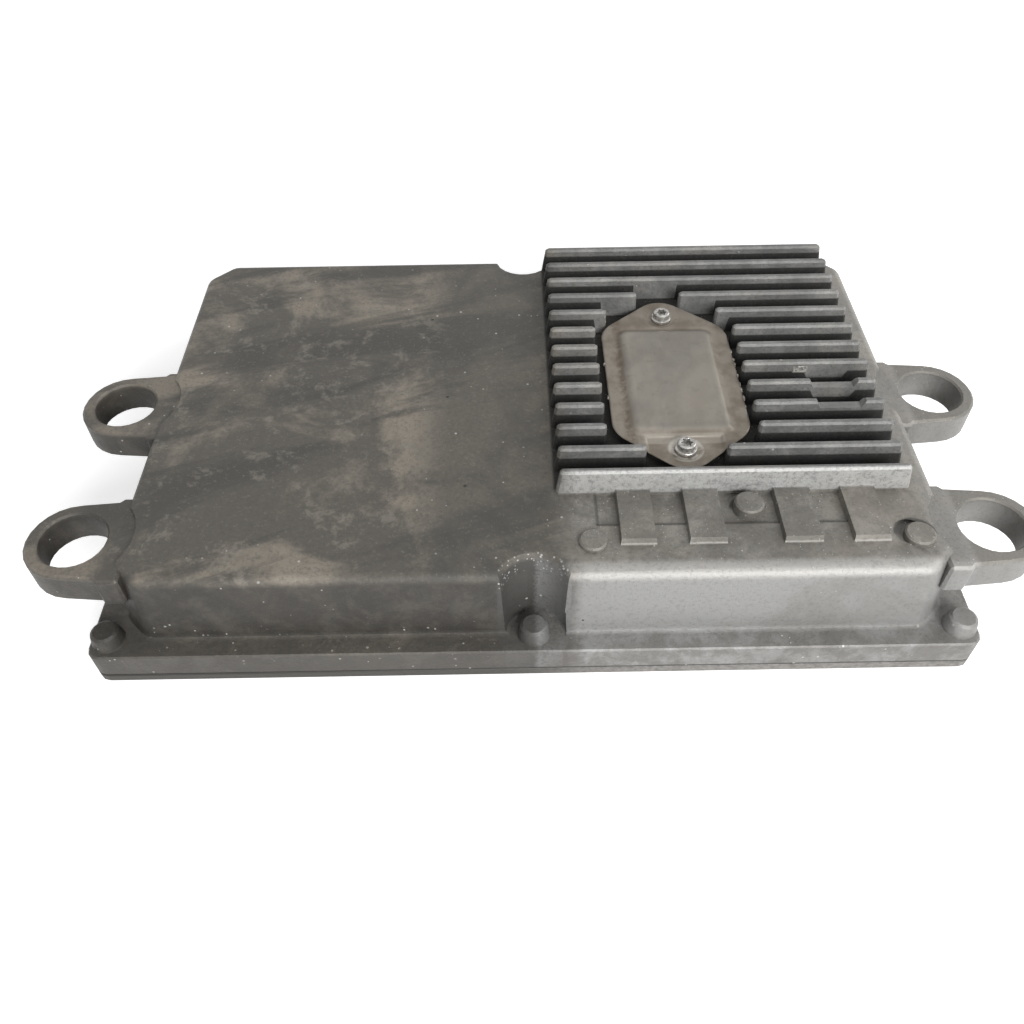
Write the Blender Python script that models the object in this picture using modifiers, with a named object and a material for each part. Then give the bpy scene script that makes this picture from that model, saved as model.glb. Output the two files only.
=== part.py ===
"""Fuel injection control module: finned cast case, base plate, boards, headers and access cover.

Metres, +Z up, +X to the right, +Y to the rear. The origin is on the underside of the base
plate, at the middle of the case.
"""
import math

import bmesh
import bpy
from mathutils import Matrix

MM = 0.001

# Walls, roof and flange of the upper case
CASE_HALF_X = 124.2 * MM
CASE_HALF_Y = 79.9 * MM
WALL_RISE = 25.5 * MM
WALL_T = 3.0 * MM
WALL_DRAFT = math.tan(math.radians(3.0))
WALL_FOOT = 1.8 * MM
ROOF_T = 4.0 * MM
TOP_ROUND = 3.0 * MM
POCKET_ROUND = 2.0 * MM
CORNER_CUT_TOP = 9.0 * MM
CORNER_CUT_FOOT = 7.2 * MM
CORNER_ROUND = 5.0 * MM
FLANGE_CORNER = 4.0 * MM
FLANGE_T = 9.25 * MM
FLANGE_EDGE = 0.5 * MM

# Screw bosses on the flange, how far they stand off the walls, and the pockets that clear them
BOSS_OUT_X = 5.1 * MM
BOSS_OUT_Y = 1.8 * MM
SIDE_BOSS_OUT = 6.0 * MM
BOSS_RIM_X = 5.6 * MM
BOSS_RIM_Y = 6.7 * MM
BOSS_TOP_R = 4.1 * MM
BOSS_FOOT_R = 5.3 * MM
BOSS_H = 5.0 * MM
BOSS_EDGE = 0.7 * MM
POCKET_R = 10.1 * MM
SCALLOP_R = 5.4 * MM
SCALLOP_RISE = 9.0 * MM
SCALLOP_TAPER = 0.05
SCALLOPS = ((0.0 * MM, 4.0 * MM), (4.6 * MM, 0.6 * MM))

# Base plate, its joint and the seal in the flange
PLATE_T = 3.0 * MM
PLATE_EDGE = 0.35 * MM
JOINT_GAP = 0.25 * MM
SEAT_GAP = 0.3 * MM
SEAL_IN = -0.6 * MM
SEAL_OUT = 0.9 * MM
SEAL_DEPTH = 1.5 * MM
SEAL_CLEAR = 0.15 * MM

# Cooling fins, set in from the walls
FIN_PITCH = 10.0 * MM
FIN_REAR_INSET = 7.4 * MM
FIN_FRONT_INSET = 32.4 * MM
FIN_RIGHT_INSET = 9.1 * MM
FIN_LEFT_X = 8.75 * MM
FIN_H = 8.75 * MM
FIN_TIP_T = 2.5 * MM
FIN_TIP_ROUND = 0.7 * MM
FIN_CORNER = 0.7 * MM
FIN_SIDE_DRAFT = 0.086
FIN_END_DRAFT = 0.149
FIN_INNER_DRAFT = 0.02
FIN_SINK = 1.2 * MM

# Notch across two fins, measured back from the fins' right ends
FIN_NOTCH_FROM = 22.1 * MM
FIN_NOTCH_TO = 5.7 * MM
FIN_NOTCH_SLOPE = 1.6 * MM
FIN_NOTCH_DEPTH = 2.3 * MM
FIN_NOTCH_FINS = (8, 9)

# Pads, recess and small round bosses, from the fins' right ends and from the front wall
PADS = ((89.5 * MM, 78.7 * MM), (69.3 * MM, 58.0 * MM), (41.4 * MM, 29.9 * MM), (21.0 * MM, 10.0 * MM))
PAD_H = 2.0 * MM
PAD_FRONT_INSET = 11.0 * MM
PAD_FRONT_SLOPE = 1.0 * MM
PAD_SIDE_SLOPE = 0.3 * MM
RECESS_FROM = 95.6 * MM
RECESS_TO = 10.0 * MM
RECESS_FRONT_INSET = 19.3 * MM
RECESS_DEPTH = 0.6 * MM
ROUND_BOSSES = (
    (97.5 * MM, 12.6 * MM, 4.2 * MM, 1.4 * MM),
    (49.6 * MM, 25.0 * MM, 4.5 * MM, 3.0 * MM),
    (1.3 * MM, 13.0 * MM, 4.5 * MM, 1.6 * MM),
)
ROUND_BOSS_EDGE = 0.5 * MM
ROUND_BOSS_FLARE = 0.2 * MM
CRESCENTS = ((51.0 * MM, 26.6 * MM, 4.9 * MM), (3.6 * MM, 14.7 * MM, 4.8 * MM))
CRESCENT_DEPTH = 0.8 * MM
CRESCENT_RISE = 2.5 * MM

# Mounting ears, from the side walls and the front wall
EAR_REACH = 13.64 * MM
EAR_FRONT_INSET = 18.17 * MM
EAR_SPACING = 60.3 * MM
EAR_HOLE_R = 10.3 * MM
EAR_WALL = 4.1 * MM
EAR_T = 11.0 * MM
EAR_DROP = 1.4 * MM
EAR_ROOT_SPREAD = 0.9 * MM
EAR_FLARE = 1.3 * MM
EAR_FLARE_REACH = 2.2 * MM
EAR_SINK = 4.0 * MM
EAR_EDGE = 0.8 * MM
EAR_CHAMFER = 0.6 * MM
SPOT_FACE_CLEAR = 4.1 * MM

# Access cover, its gasket and the curb that it sits on
COVER_FROM_FINS = 40.45 * MM
COVER_Y = 1.7 * MM
COVER_HALF_X = 22.4 * MM
COVER_LOBE_Y = 33.4 * MM
COVER_LOBE_R = 9.4 * MM
COVER_SLANT = math.radians(50.0)
COVER_CORNER = 11.0 * MM
COVER_T = 1.25 * MM
COVER_EDGE = 0.35 * MM
COVER_OVERHANG = 1.2 * MM
COVER_FIN_CLEAR = 1.3 * MM
COVER_SIDE_CLEAR = 1.9 * MM
COVER_GAP_SHIFT = -0.5 * MM
COVER_SCREW_SHIFT = -0.8 * MM
COVER_SCREW_OUT = 0.2 * MM
CURB_H = 1.7 * MM
GASKET_T = 0.8 * MM
GASKET_INSET = 0.5 * MM
EMBOSS_SIDE_INSET = 5.0 * MM
EMBOSS_END_INSET = 5.8 * MM
EMBOSS_Y = -1.2 * MM
EMBOSS_CORNER = 4.5 * MM
EMBOSS_SLOPE = 4.6 * MM
EMBOSS_H = 1.2 * MM
DIMPLE_R = 4.6 * MM
DIMPLE_DEPTH = 0.3 * MM
TAB_HALF_X = 12.3 * MM
TAB_DEPTH = 0.5 * MM
TAB_SLOPE = 1.0 * MM
WINDOW_SIDE_INSET = 7.9 * MM
WINDOW_END_INSET = 10.9 * MM
WINDOW_CORNER = 3.0 * MM

# Screws
COVER_SCREW_R = 2.0 * MM
COVER_SCREW_HEAD_R = 2.9 * MM
COVER_SCREW_HEAD_H = 3.2 * MM
COVER_SCREW_COLLAR_R = 3.5 * MM
COVER_SCREW_COLLAR_H = 1.1 * MM
COVER_SCREW_EDGE = 0.7 * MM
COVER_SCREW_LENGTH = 8.0 * MM
BASE_SCREW_R = 2.0 * MM
BASE_SCREW_HEAD_R = 3.8 * MM
BASE_SCREW_LENGTH = 11.5 * MM
BOARD_SCREW_R = 1.3 * MM
BOARD_SCREW_HEAD_R = 2.8 * MM
BOARD_SCREW_HEAD_H = 2.0 * MM
BOARD_SCREW_LENGTH = 6.0 * MM
DRIVE_R = 1.5 * MM
DRIVE_DEPTH = 1.5 * MM
HOLE_CLEAR = 0.2 * MM
HOLE_SPARE = 1.0 * MM

# Boards and the posts that they hang from
BOARD_T = 1.6 * MM
LOGIC_BOARD_RISE = 14.05 * MM
BOARD_EDGE_CLEAR = 1.7 * MM
POST_R = 3.6 * MM
POST_DRAFT = 0.03
LOGIC_POST_LEFT_INSET = 16.2 * MM
LOGIC_POST_MIDDLE_X = -16.0 * MM
LOGIC_POST_RIGHT_INSET = 18.2 * MM
LOGIC_POST_INSET_Y = 9.9 * MM
POWER_BOARD_DROP = 6.0 * MM
POWER_BOARD_LEFT = 34.2 * MM
POWER_BOARD_RIGHT_INSET = 12.2 * MM
POWER_BOARD_FRONT_CLEAR = 4.4 * MM
POWER_BOARD_REAR = 38.3 * MM
POWER_POST_INSET = 6.0 * MM

# Pin headers, through windows in the base plate, laid out from the left wall
HEADER_SIDE_INSET = 11.3 * MM
HEADER_REAR_INSET = 11.9 * MM
HEADER_GAP = 12.0 * MM
HEADER_HALF_Y = 12.0 * MM
HEADER_END = 7.0 * MM
HEADER_WALL = 1.8 * MM
HEADER_MOUTH_Z = 0.4 * MM
HEADER_FLOOR_T = 3.8 * MM
HEADER_FLANGE = 4.0 * MM
HEADER_FLANGE_T = 2.5 * MM
HEADER_SEAL_T = 1.05 * MM
HEADER_SEAL_INSET = 0.8 * MM
HEADER_CORNER = 2.5 * MM
HEADER_WINDOW_CLEAR = 0.4 * MM
PIN_PITCH = 6.8 * MM
PIN_ROW_PITCH = 5.6 * MM
PIN_ROWS = 3
PIN_R = 1.0 * MM
PIN_TIP_R = 0.5 * MM
PIN_RECESS = 5.4 * MM

# Parts on the boards, laid out from the left and front walls
CAPACITOR_COUNT = 4
CAPACITOR_R = 5.0 * MM
CAPACITOR_L = 27.0 * MM
CAPACITOR_CRIMP = 4.0 * MM
CAPACITOR_EDGE = 0.7 * MM
CAPACITOR_SIDE_INSET = 36.2 * MM
CAPACITOR_FRONT_INSET = 27.9 * MM
CAPACITOR_PITCH = 16.0 * MM
INDUCTOR_MAJOR = 8.5 * MM
INDUCTOR_MINOR = 3.6 * MM
INDUCTOR_FROM_CAPACITOR = 38.0 * MM
INDUCTOR_FRONT_INSET = 33.9 * MM
INDUCTOR_PITCH = 28.0 * MM
COIL_SIZE = (30.0 * MM, 26.0 * MM, 9.6 * MM)
COIL_FROM_INDUCTOR = 30.0 * MM
CHIP_SIZE = (28.0 * MM, 28.0 * MM, 2.0 * MM)
CHIP_FROM_COIL = (36.0 * MM, 8.0 * MM)
DRIVER_SIZE = (20.0 * MM, 14.0 * MM, 2.4 * MM)
DRIVER_FROM_CAPACITOR = 28.0 * MM
TRANSISTOR_W = 10.0 * MM
TRANSISTOR_L = 13.0 * MM
TRANSISTOR_TAB_T = 1.3 * MM
TRANSISTOR_SIDE_INSET = 20.0 * MM
TRANSISTOR_END = 18.0 * MM
TRANSISTOR_PITCH = 22.0 * MM
TERMINAL_COUNT = 4
TERMINAL_R = 2.6 * MM
TERMINAL_H = 1.8 * MM
TERMINAL_PITCH = 7.0 * MM
TERMINAL_PLACE = (0.3 * MM, -13.7 * MM)
LINK_SIZE_X = 44.0 * MM
LINK_SIZE_Y = 5.0 * MM
LINK_PLACE = (-1.5 * MM, 8.0 * MM)

# Places that follow from the sizes above
BOSS_X = CASE_HALF_X + BOSS_OUT_X
BOSS_Y = CASE_HALF_Y + BOSS_OUT_Y
SIDE_BOSS_X = CASE_HALF_X + SIDE_BOSS_OUT
FLANGE_HALF_X = BOSS_X + BOSS_RIM_X
FLANGE_HALF_Y = BOSS_Y + BOSS_RIM_Y
FIN_REAR_Y = CASE_HALF_Y - FIN_REAR_INSET
FIN_RIGHT_X = CASE_HALF_X - FIN_RIGHT_INSET
FIN_COUNT = 1 + int((FIN_REAR_Y + CASE_HALF_Y - FIN_FRONT_INSET) / FIN_PITCH + 0.001)
FIN_LAST_Y = FIN_REAR_Y - (FIN_COUNT - 1) * FIN_PITCH
EAR_X = CASE_HALF_X + EAR_REACH
EAR_FRONT_Y = EAR_FRONT_INSET - CASE_HALF_Y
EAR_REAR_Y = EAR_FRONT_Y + EAR_SPACING
EAR_R = EAR_HOLE_R + EAR_WALL
COVER_X = FIN_LEFT_X + COVER_FROM_FINS
WINDOW_HALF_X = COVER_HALF_X - WINDOW_SIDE_INSET
WINDOW_HALF_Y = COVER_LOBE_Y - WINDOW_END_INSET
EMBOSS_HALF_X = COVER_HALF_X - EMBOSS_SIDE_INSET
EMBOSS_HALF_Y = COVER_LOBE_Y - EMBOSS_END_INSET
LOGIC_POST_Y = CASE_HALF_Y - LOGIC_POST_INSET_Y
POWER_BOARD_X = (COVER_X - POWER_BOARD_LEFT, CASE_HALF_X - POWER_BOARD_RIGHT_INSET)
POWER_BOARD_Y = (POST_R + POWER_BOARD_FRONT_CLEAR - LOGIC_POST_Y, COVER_Y + POWER_BOARD_REAR)
HEADER_Y = CASE_HALF_Y - HEADER_REAR_INSET - HEADER_FLANGE - HEADER_HALF_Y
CAPACITOR_X = CAPACITOR_SIDE_INSET - CASE_HALF_X
CAPACITOR_Y = CAPACITOR_FRONT_INSET - CASE_HALF_Y
INDUCTOR_X = CAPACITOR_X + INDUCTOR_FROM_CAPACITOR
INDUCTOR_Y = INDUCTOR_FRONT_INSET - CASE_HALF_Y

# Heights that follow from the sizes above
FLANGE_BOTTOM = PLATE_T + JOINT_GAP
FLANGE_TOP = FLANGE_BOTTOM + FLANGE_T
CASE_TOP = FLANGE_TOP + WALL_RISE
CEILING = CASE_TOP - ROOF_T
FIN_TOP = CASE_TOP + FIN_H
EAR_TOP = CASE_TOP - EAR_DROP
EAR_BOTTOM = EAR_TOP - EAR_T
CURB_TOP = CASE_TOP + CURB_H
COVER_BOTTOM = CURB_TOP + GASKET_T + 2.0 * SEAL_CLEAR
COVER_TOP = COVER_BOTTOM + COVER_T
LOGIC_BOARD_Z = FLANGE_BOTTOM + LOGIC_BOARD_RISE
LOGIC_BOARD_TOP = LOGIC_BOARD_Z + BOARD_T
HEADER_FLOOR_Z = LOGIC_BOARD_Z - HEADER_FLOOR_T
POWER_BOARD_Z = CEILING - POWER_BOARD_DROP
POWER_BOARD_TOP = POWER_BOARD_Z + BOARD_T
OVER = 1.0 * MM

COLLECTIONS = {}


def clear_scene():
    """Remove every object, and make the two collections."""
    for item in list(bpy.data.objects):
        bpy.data.objects.remove(item, do_unlink=True)
    for name in ("fuel_injection_control_module", "cutters"):
        collection = bpy.data.collections.new(name)
        bpy.context.scene.collection.children.link(collection)
        COLLECTIONS[name] = collection


def make_material(name, color, roughness, metallic):
    """Principled material with one flat colour."""
    material = bpy.data.materials.new(name)
    material.use_nodes = True
    shader = material.node_tree.nodes["Principled BSDF"]
    shader.inputs["Base Color"].default_value = (*color, 1.0)
    shader.inputs["Roughness"].default_value = roughness
    shader.inputs["Metallic"].default_value = metallic
    material.diffuse_color = (*color, 1.0)
    return material


def place_mesh(name, mesh, material=None):
    """Object from a mesh; without a material it is a tool for another object's Boolean."""
    item = bpy.data.objects.new(name, mesh)
    if material is None:
        COLLECTIONS["cutters"].objects.link(item)
        item.hide_render = True
        item.display_type = "WIRE"
        return item
    COLLECTIONS["fuel_injection_control_module"].objects.link(item)
    if not mesh.materials:
        mesh.materials.append(material)
    return item


def make_object(name, bm, material=None):
    """Object from a bmesh, with its faces turned outward."""
    bmesh.ops.recalc_face_normals(bm, faces=bm.faces)
    mesh = bpy.data.meshes.new(name)
    bm.to_mesh(mesh)
    bm.free()
    return place_mesh(name, mesh, material)


def combine(target, tool, operation):
    """Boolean modifier on the target."""
    modifier = target.modifiers.new(tool.name, "BOOLEAN")
    modifier.operation = operation
    modifier.solver = "EXACT"
    modifier.object = tool
    return target


def join(target, tool):
    return combine(target, tool, "UNION")


def cut(target, tool):
    return combine(target, tool, "DIFFERENCE")


def bevel(item, width, segments=1):
    """Break every edge of an object that is sharper than 50 degrees."""
    modifier = item.modifiers.new("edges", "BEVEL")
    modifier.width = width
    modifier.segments = segments
    modifier.limit_method = "ANGLE"
    modifier.angle_limit = math.radians(50.0)
    return item


def shade(item, angle=35.0):
    """Smooth shading with sharp edges kept."""
    item.data.shade_smooth()
    item.data.set_sharp_from_angle(angle=math.radians(angle))
    return item


def fillet(corners, radius, steps):
    """Closed outline with each corner replaced by an arc of steps + 1 points."""
    points = []
    count = len(corners)
    for index, (x, y) in enumerate(corners):
        ax, ay = corners[index - 1][0] - x, corners[index - 1][1] - y
        bx, by = corners[(index + 1) % count][0] - x, corners[(index + 1) % count][1] - y
        a_len, b_len = math.hypot(ax, ay), math.hypot(bx, by)
        ax, ay, bx, by = ax / a_len, ay / a_len, bx / b_len, by / b_len
        half = 0.5 * math.acos(max(-1.0, min(1.0, ax * bx + ay * by)))
        reach = min(radius / math.tan(half), 0.49 * a_len, 0.49 * b_len)
        arc_r = reach * math.tan(half)
        mid_len = math.hypot(ax + bx, ay + by)
        cx = x + (ax + bx) / mid_len * arc_r / math.sin(half)
        cy = y + (ay + by) / mid_len * arc_r / math.sin(half)
        start = math.atan2(y + ay * reach - cy, x + ax * reach - cx)
        end = math.atan2(y + by * reach - cy, x + bx * reach - cx)
        sweep = (end - start + math.pi) % (2.0 * math.pi) - math.pi
        points += arc(cx, cy, arc_r, start, start + sweep, steps)
    return points


def arc(cx, cy, radius, start, end, steps):
    """Points of an arc, both ends included."""
    angles = [start + (end - start) * step / steps for step in range(steps + 1)]
    return [(cx + radius * math.cos(angle), cy + radius * math.sin(angle)) for angle in angles]


def circle(cx, cy, radius, steps):
    return arc(cx, cy, radius, 0.0, 2.0 * math.pi, steps)[:-1]


def rectangle(x0, x1, y0, y1):
    return [(x0, y0), (x1, y0), (x1, y1), (x0, y1)]


def rounded_rectangle(cx, cy, half_x, half_y, radius, steps=2):
    return fillet(rectangle(cx - half_x, cx + half_x, cy - half_y, cy + half_y), radius, steps)


def add_cone(bm, x, y, foot_r, top_r, z0, z1, steps):
    """Cylinder or cone on a vertical axis."""
    matrix = Matrix.Translation((x, y, 0.5 * (z0 + z1)))
    bmesh.ops.create_cone(bm, cap_ends=True, segments=steps, radius1=foot_r, radius2=top_r,
                          depth=z1 - z0, matrix=matrix)


def box(name, x0, x1, y0, y1, z0, z1, material=None):
    """Block between two corners."""
    bm = bmesh.new()
    matrix = Matrix.Translation((0.5 * (x0 + x1), 0.5 * (y0 + y1), 0.5 * (z0 + z1)))
    bmesh.ops.create_cube(bm, size=1.0, matrix=matrix @ Matrix.Diagonal((x1 - x0, y1 - y0, z1 - z0, 1.0)))
    return make_object(name, bm, material)


def sheet(name, outlines, z0, z1, material=None):
    """Flat piece between two heights; an outline inside another one is a hole in it."""
    curve = bpy.data.curves.new(name, "CURVE")
    curve.dimensions = "2D"
    curve.fill_mode = "BOTH"
    curve.extrude = 0.5 * (z1 - z0)
    for points in outlines:
        spline = curve.splines.new("POLY")
        spline.points.add(len(points) - 1)
        spline.use_cyclic_u = True
        for point, (x, y) in zip(spline.points, points):
            point.co = (x, y, 0.0, 1.0)
    drawn = bpy.data.objects.new(name + "_curve", curve)
    bpy.context.scene.collection.objects.link(drawn)
    drawn.location.z = 0.5 * (z0 + z1)
    bpy.context.view_layer.update()
    evaluated = drawn.evaluated_get(bpy.context.evaluated_depsgraph_get())
    mesh = bpy.data.meshes.new_from_object(evaluated)
    place = drawn.matrix_world.copy()
    bpy.data.objects.remove(drawn)
    bm = bmesh.new()
    bm.from_mesh(mesh)
    bpy.data.meshes.remove(mesh)
    bmesh.ops.remove_doubles(bm, verts=bm.verts, dist=0.00001)
    bmesh.ops.dissolve_limit(bm, angle_limit=0.001, verts=bm.verts, edges=bm.edges)
    item = make_object(name, bm, material)
    item.matrix_world = place
    return item


def loft(sections, bm=None):
    """Closed solid through outlines of equal point count, each given as (points, height)."""
    if bm is None:
        bm = bmesh.new()
    points, z = sections[0]
    face = bm.faces.new([bm.verts.new((x, y, z)) for x, y in points])
    rim = list(face.edges)
    for points, z in sections[1:]:
        face = bmesh.ops.extrude_discrete_faces(bm, faces=[face])["faces"][0]
        for vert, (x, y) in zip(face.verts, points):
            vert.co = (x, y, z)
    bmesh.ops.holes_fill(bm, edges=rim, sides=0)
    return bm


def turned(name, profile, material, steps, location=(0.0, 0.0, 0.0)):
    """Solid turned about Z; the profile runs from the top of the axis down its outer side."""
    mesh = bpy.data.meshes.new(name)
    edges = [(i, i + 1) for i in range(len(profile) - 1)]
    mesh.from_pydata([(x, 0.0, z) for x, z in profile], edges, [])
    item = place_mesh(name, mesh, material)
    screw = item.modifiers.new("turn", "SCREW")
    screw.steps = steps
    screw.render_steps = steps
    screw.use_merge_vertices = True
    screw.merge_threshold = 0.00001
    item.location = location
    return item


def wall_offset(z):
    """How far the draft has moved the outer wall outward at height z."""
    return (CASE_TOP - z) * WALL_DRAFT


def body_outline(z, offset, rounding=0.0, pocket_steps=6, corner_steps=1):
    """Plan outline of the case walls at height z, moved outward, with its boss pockets.

    The rounding is how far the rounded top edge has drawn the walls in at that height.
    """
    foot = min(1.0, max(0.0, (CASE_TOP - z) / WALL_RISE))
    corner_cut = CORNER_CUT_TOP + (CORNER_CUT_FOOT - CORNER_CUT_TOP) * foot
    offset = offset + wall_offset(z)
    half_x = CASE_HALF_X + offset - rounding
    half_y = CASE_HALF_Y + offset - rounding
    setback = corner_cut + (offset - rounding) * (2.0 - math.sqrt(2.0))
    pocket_r = POCKET_R - offset + rounding * POCKET_ROUND / TOP_ROUND
    lift = math.asin((BOSS_Y - half_y) / pocket_r)
    ring = [
        (half_x - setback, -half_y), (half_x, -half_y + setback),
        (half_x, half_y - setback), (half_x - setback, half_y),
        (-half_x + setback, half_y), (-half_x, half_y - setback),
        (-half_x, -half_y + setback), (-half_x + setback, -half_y),
    ]
    corners = fillet(ring, max(CORNER_ROUND + offset - rounding, 1.0 * MM), corner_steps)
    front = arc(0.0, -BOSS_Y, pocket_r, math.pi - lift, lift, pocket_steps)
    rear = [(-x, -y) for x, y in front]
    half = len(corners) // 2
    return front + corners[:half] + rear + corners[half:]


def case_solid(material):
    """Outer body: drafted walls with a foot fillet, rounded top edges and boss pockets."""
    sections = [(FLANGE_TOP - 2.0 * MM, WALL_FOOT, 0.0)]
    for step in range(3):
        angle = math.radians(45.0 * step)
        sections.append((FLANGE_TOP + WALL_FOOT * (1.0 - math.cos(angle)), WALL_FOOT * (1.0 - math.sin(angle)), 0.0))
    for step in range(4):
        angle = math.radians(30.0 * step)
        sections.append((CASE_TOP - TOP_ROUND * (1.0 - math.sin(angle)), 0.0, TOP_ROUND * (1.0 - math.cos(angle))))
    outlines = [(body_outline(z, offset, rounding, 9, 2), z) for z, offset, rounding in sections]
    return make_object("upper_case", loft(outlines), material)


def flange_outline():
    return rounded_rectangle(0.0, 0.0, FLANGE_HALF_X, FLANGE_HALF_Y, FLANGE_CORNER, 3)


def boss_places():
    """Axes of the eight base screws."""
    rows = [(x, y) for y in (-BOSS_Y, BOSS_Y) for x in (-BOSS_X, 0.0, BOSS_X)]
    return rows + [(-SIDE_BOSS_X, EAR_REAR_Y), (SIDE_BOSS_X, EAR_REAR_Y)]


def flange_bosses_tool():
    """Blind bosses that stand on the flange over the base screws."""
    bm = bmesh.new()
    for x, y in boss_places():
        add_cone(bm, x, y, BOSS_FOOT_R, BOSS_TOP_R, FLANGE_TOP - OVER, FLANGE_TOP + BOSS_H, 18)
    return bevel(make_object("flange_bosses", bm), BOSS_EDGE)


def scallop_tool(number, dx, dy):
    """Round relief beside the front middle boss, in the foot of its pocket."""
    bm = bmesh.new()
    top_r = SCALLOP_R - SCALLOP_TAPER * SCALLOP_RISE
    add_cone(bm, dx, dy - BOSS_Y, SCALLOP_R, top_r, FLANGE_TOP - OVER, FLANGE_TOP + SCALLOP_RISE, 18)
    return make_object("scallop_%d" % number, bm)


def add_fin(bm, x0, x1, y_front, left_draft, right_draft):
    """One drafted fin with a rounded tip; its corners are broken in plan."""
    tip = FIN_TIP_ROUND
    sections = []
    for drop, shrink in ((FIN_H + FIN_SINK, 0.0), (tip, 0.0), (0.0, 0.8 * tip)):
        side = drop * FIN_SIDE_DRAFT - shrink
        left = x0 - drop * left_draft + shrink
        right = x1 + drop * right_draft - shrink
        corners = rectangle(left, right, y_front - side, y_front + FIN_TIP_T + side)
        sections.append((fillet(corners, FIN_CORNER, 1), FIN_TOP - drop))
    loft(sections, bm)


def cover_gap(depth):
    """Half width of the fins' gap for the cover, at a depth from the cover's middle."""
    lobe_r = COVER_LOBE_R + COVER_FIN_CLEAR
    if depth > COVER_LOBE_Y + lobe_r:
        return 0.0
    if depth > COVER_LOBE_Y + lobe_r * math.sin(COVER_SLANT):
        return math.sqrt(lobe_r ** 2 - (depth - COVER_LOBE_Y) ** 2)
    reach = COVER_LOBE_Y * math.sin(COVER_SLANT) + lobe_r
    slant = (reach - depth * math.sin(COVER_SLANT)) / math.cos(COVER_SLANT)
    return min(slant, COVER_HALF_X + COVER_SIDE_CLEAR)


def fins_tool():
    """Row of fins; those beside the access cover stop short of it on both sides."""
    bm = bmesh.new()
    middle = COVER_X + COVER_GAP_SHIFT
    for index in range(FIN_COUNT):
        y_front = FIN_REAR_Y - index * FIN_PITCH
        gap = cover_gap(min(abs(y_front - COVER_Y), abs(y_front + FIN_TIP_T - COVER_Y)))
        if gap > 0.0:
            add_fin(bm, FIN_LEFT_X, middle - gap, y_front, FIN_END_DRAFT, FIN_INNER_DRAFT)
            add_fin(bm, middle + gap, FIN_RIGHT_X, y_front, FIN_INNER_DRAFT, FIN_END_DRAFT)
        else:
            add_fin(bm, FIN_LEFT_X, FIN_RIGHT_X, y_front, FIN_END_DRAFT, FIN_END_DRAFT)
    return make_object("fins", bm)


def fin_notch_tool():
    """Slope-ended notch across the tips of two neighbouring fins."""
    rear = FIN_REAR_Y - FIN_NOTCH_FINS[0] * FIN_PITCH + FIN_TIP_T + 1.5 * MM
    front = FIN_REAR_Y - FIN_NOTCH_FINS[1] * FIN_PITCH - 1.5 * MM
    left, right = FIN_RIGHT_X - FIN_NOTCH_FROM, FIN_RIGHT_X - FIN_NOTCH_TO
    low = rectangle(left + FIN_NOTCH_SLOPE, right - FIN_NOTCH_SLOPE, front, rear)
    high = rectangle(left - 0.5 * MM, right + 0.5 * MM, front, rear)
    return make_object("fin_notch", loft([(low, FIN_TOP - FIN_NOTCH_DEPTH), (high, FIN_TOP + OVER)]))


def last_fin_foot():
    """Front face of the last fin where it meets the roof."""
    return FIN_LAST_Y - FIN_H * FIN_SIDE_DRAFT


def recess_tool():
    """Shallow recess between the pads."""
    return box("pad_recess", FIN_RIGHT_X - RECESS_FROM, FIN_RIGHT_X - RECESS_TO, RECESS_FRONT_INSET - CASE_HALF_Y,
               last_fin_foot() - 0.2 * MM, CASE_TOP - RECESS_DEPTH, CASE_TOP + OVER)


def pads_tool():
    """Raised pads with sloped front ends, their rear ends let into the last fin's foot."""
    bm = bmesh.new()
    rear = last_fin_foot() + 0.4 * MM
    front = PAD_FRONT_INSET - CASE_HALF_Y
    for start, end in PADS:
        x0, x1 = FIN_RIGHT_X - start, FIN_RIGHT_X - end
        low = rectangle(x0, x1, front, rear)
        high = rectangle(x0 + PAD_SIDE_SLOPE, x1 - PAD_SIDE_SLOPE, front + PAD_FRONT_SLOPE, rear)
        loft([(low, CASE_TOP - RECESS_DEPTH - 0.5 * MM), (low, CASE_TOP), (high, CASE_TOP + PAD_H)], bm)
    return make_object("pads", bm)


def round_bosses_tool():
    """Small turned bosses in front of the fins."""
    bm = bmesh.new()
    for back, inset, radius, height in ROUND_BOSSES:
        add_cone(bm, FIN_RIGHT_X - back, inset - CASE_HALF_Y, radius + ROUND_BOSS_FLARE, radius,
                 CASE_TOP - 2.0 * OVER, CASE_TOP + height, 20)
    return bevel(make_object("round_bosses", bm), ROUND_BOSS_EDGE)


def crescents_tool():
    """Round cuts beside two of the bosses, which leave a crescent-shaped sink."""
    bm = bmesh.new()
    for back, inset, radius in CRESCENTS:
        add_cone(bm, FIN_RIGHT_X - back, inset - CASE_HALF_Y, radius, radius,
                 CASE_TOP - CRESCENT_DEPTH, CASE_TOP + CRESCENT_RISE, 20)
    return make_object("crescents", bm)


def ear_outline(side, y):
    """Plan outline of an ear: round end about its hole, straight root with a flared foot."""
    root = EAR_R + EAR_ROOT_SPREAD
    flare_x = CASE_HALF_X + EAR_FLARE_REACH
    foot = [(CASE_HALF_X - EAR_SINK, -root - EAR_FLARE), (flare_x, -root - EAR_FLARE), (flare_x + EAR_FLARE, -root)]
    end = arc(EAR_X, 0.0, EAR_R, math.radians(-86.0), math.radians(86.0), 12)
    points = foot + end + [(px, -py) for px, py in reversed(foot)]
    return [(side * px, py + y) for px, py in points]


def ear_places():
    return [(side, y) for side in (-1, 1) for y in (EAR_REAR_Y, EAR_FRONT_Y)]


def ears_tool():
    """Four ears with broken edges."""
    ears = sheet("ears", [ear_outline(side, y) for side, y in ear_places()], EAR_BOTTOM, EAR_TOP)
    return bevel(ears, EAR_EDGE)


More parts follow.
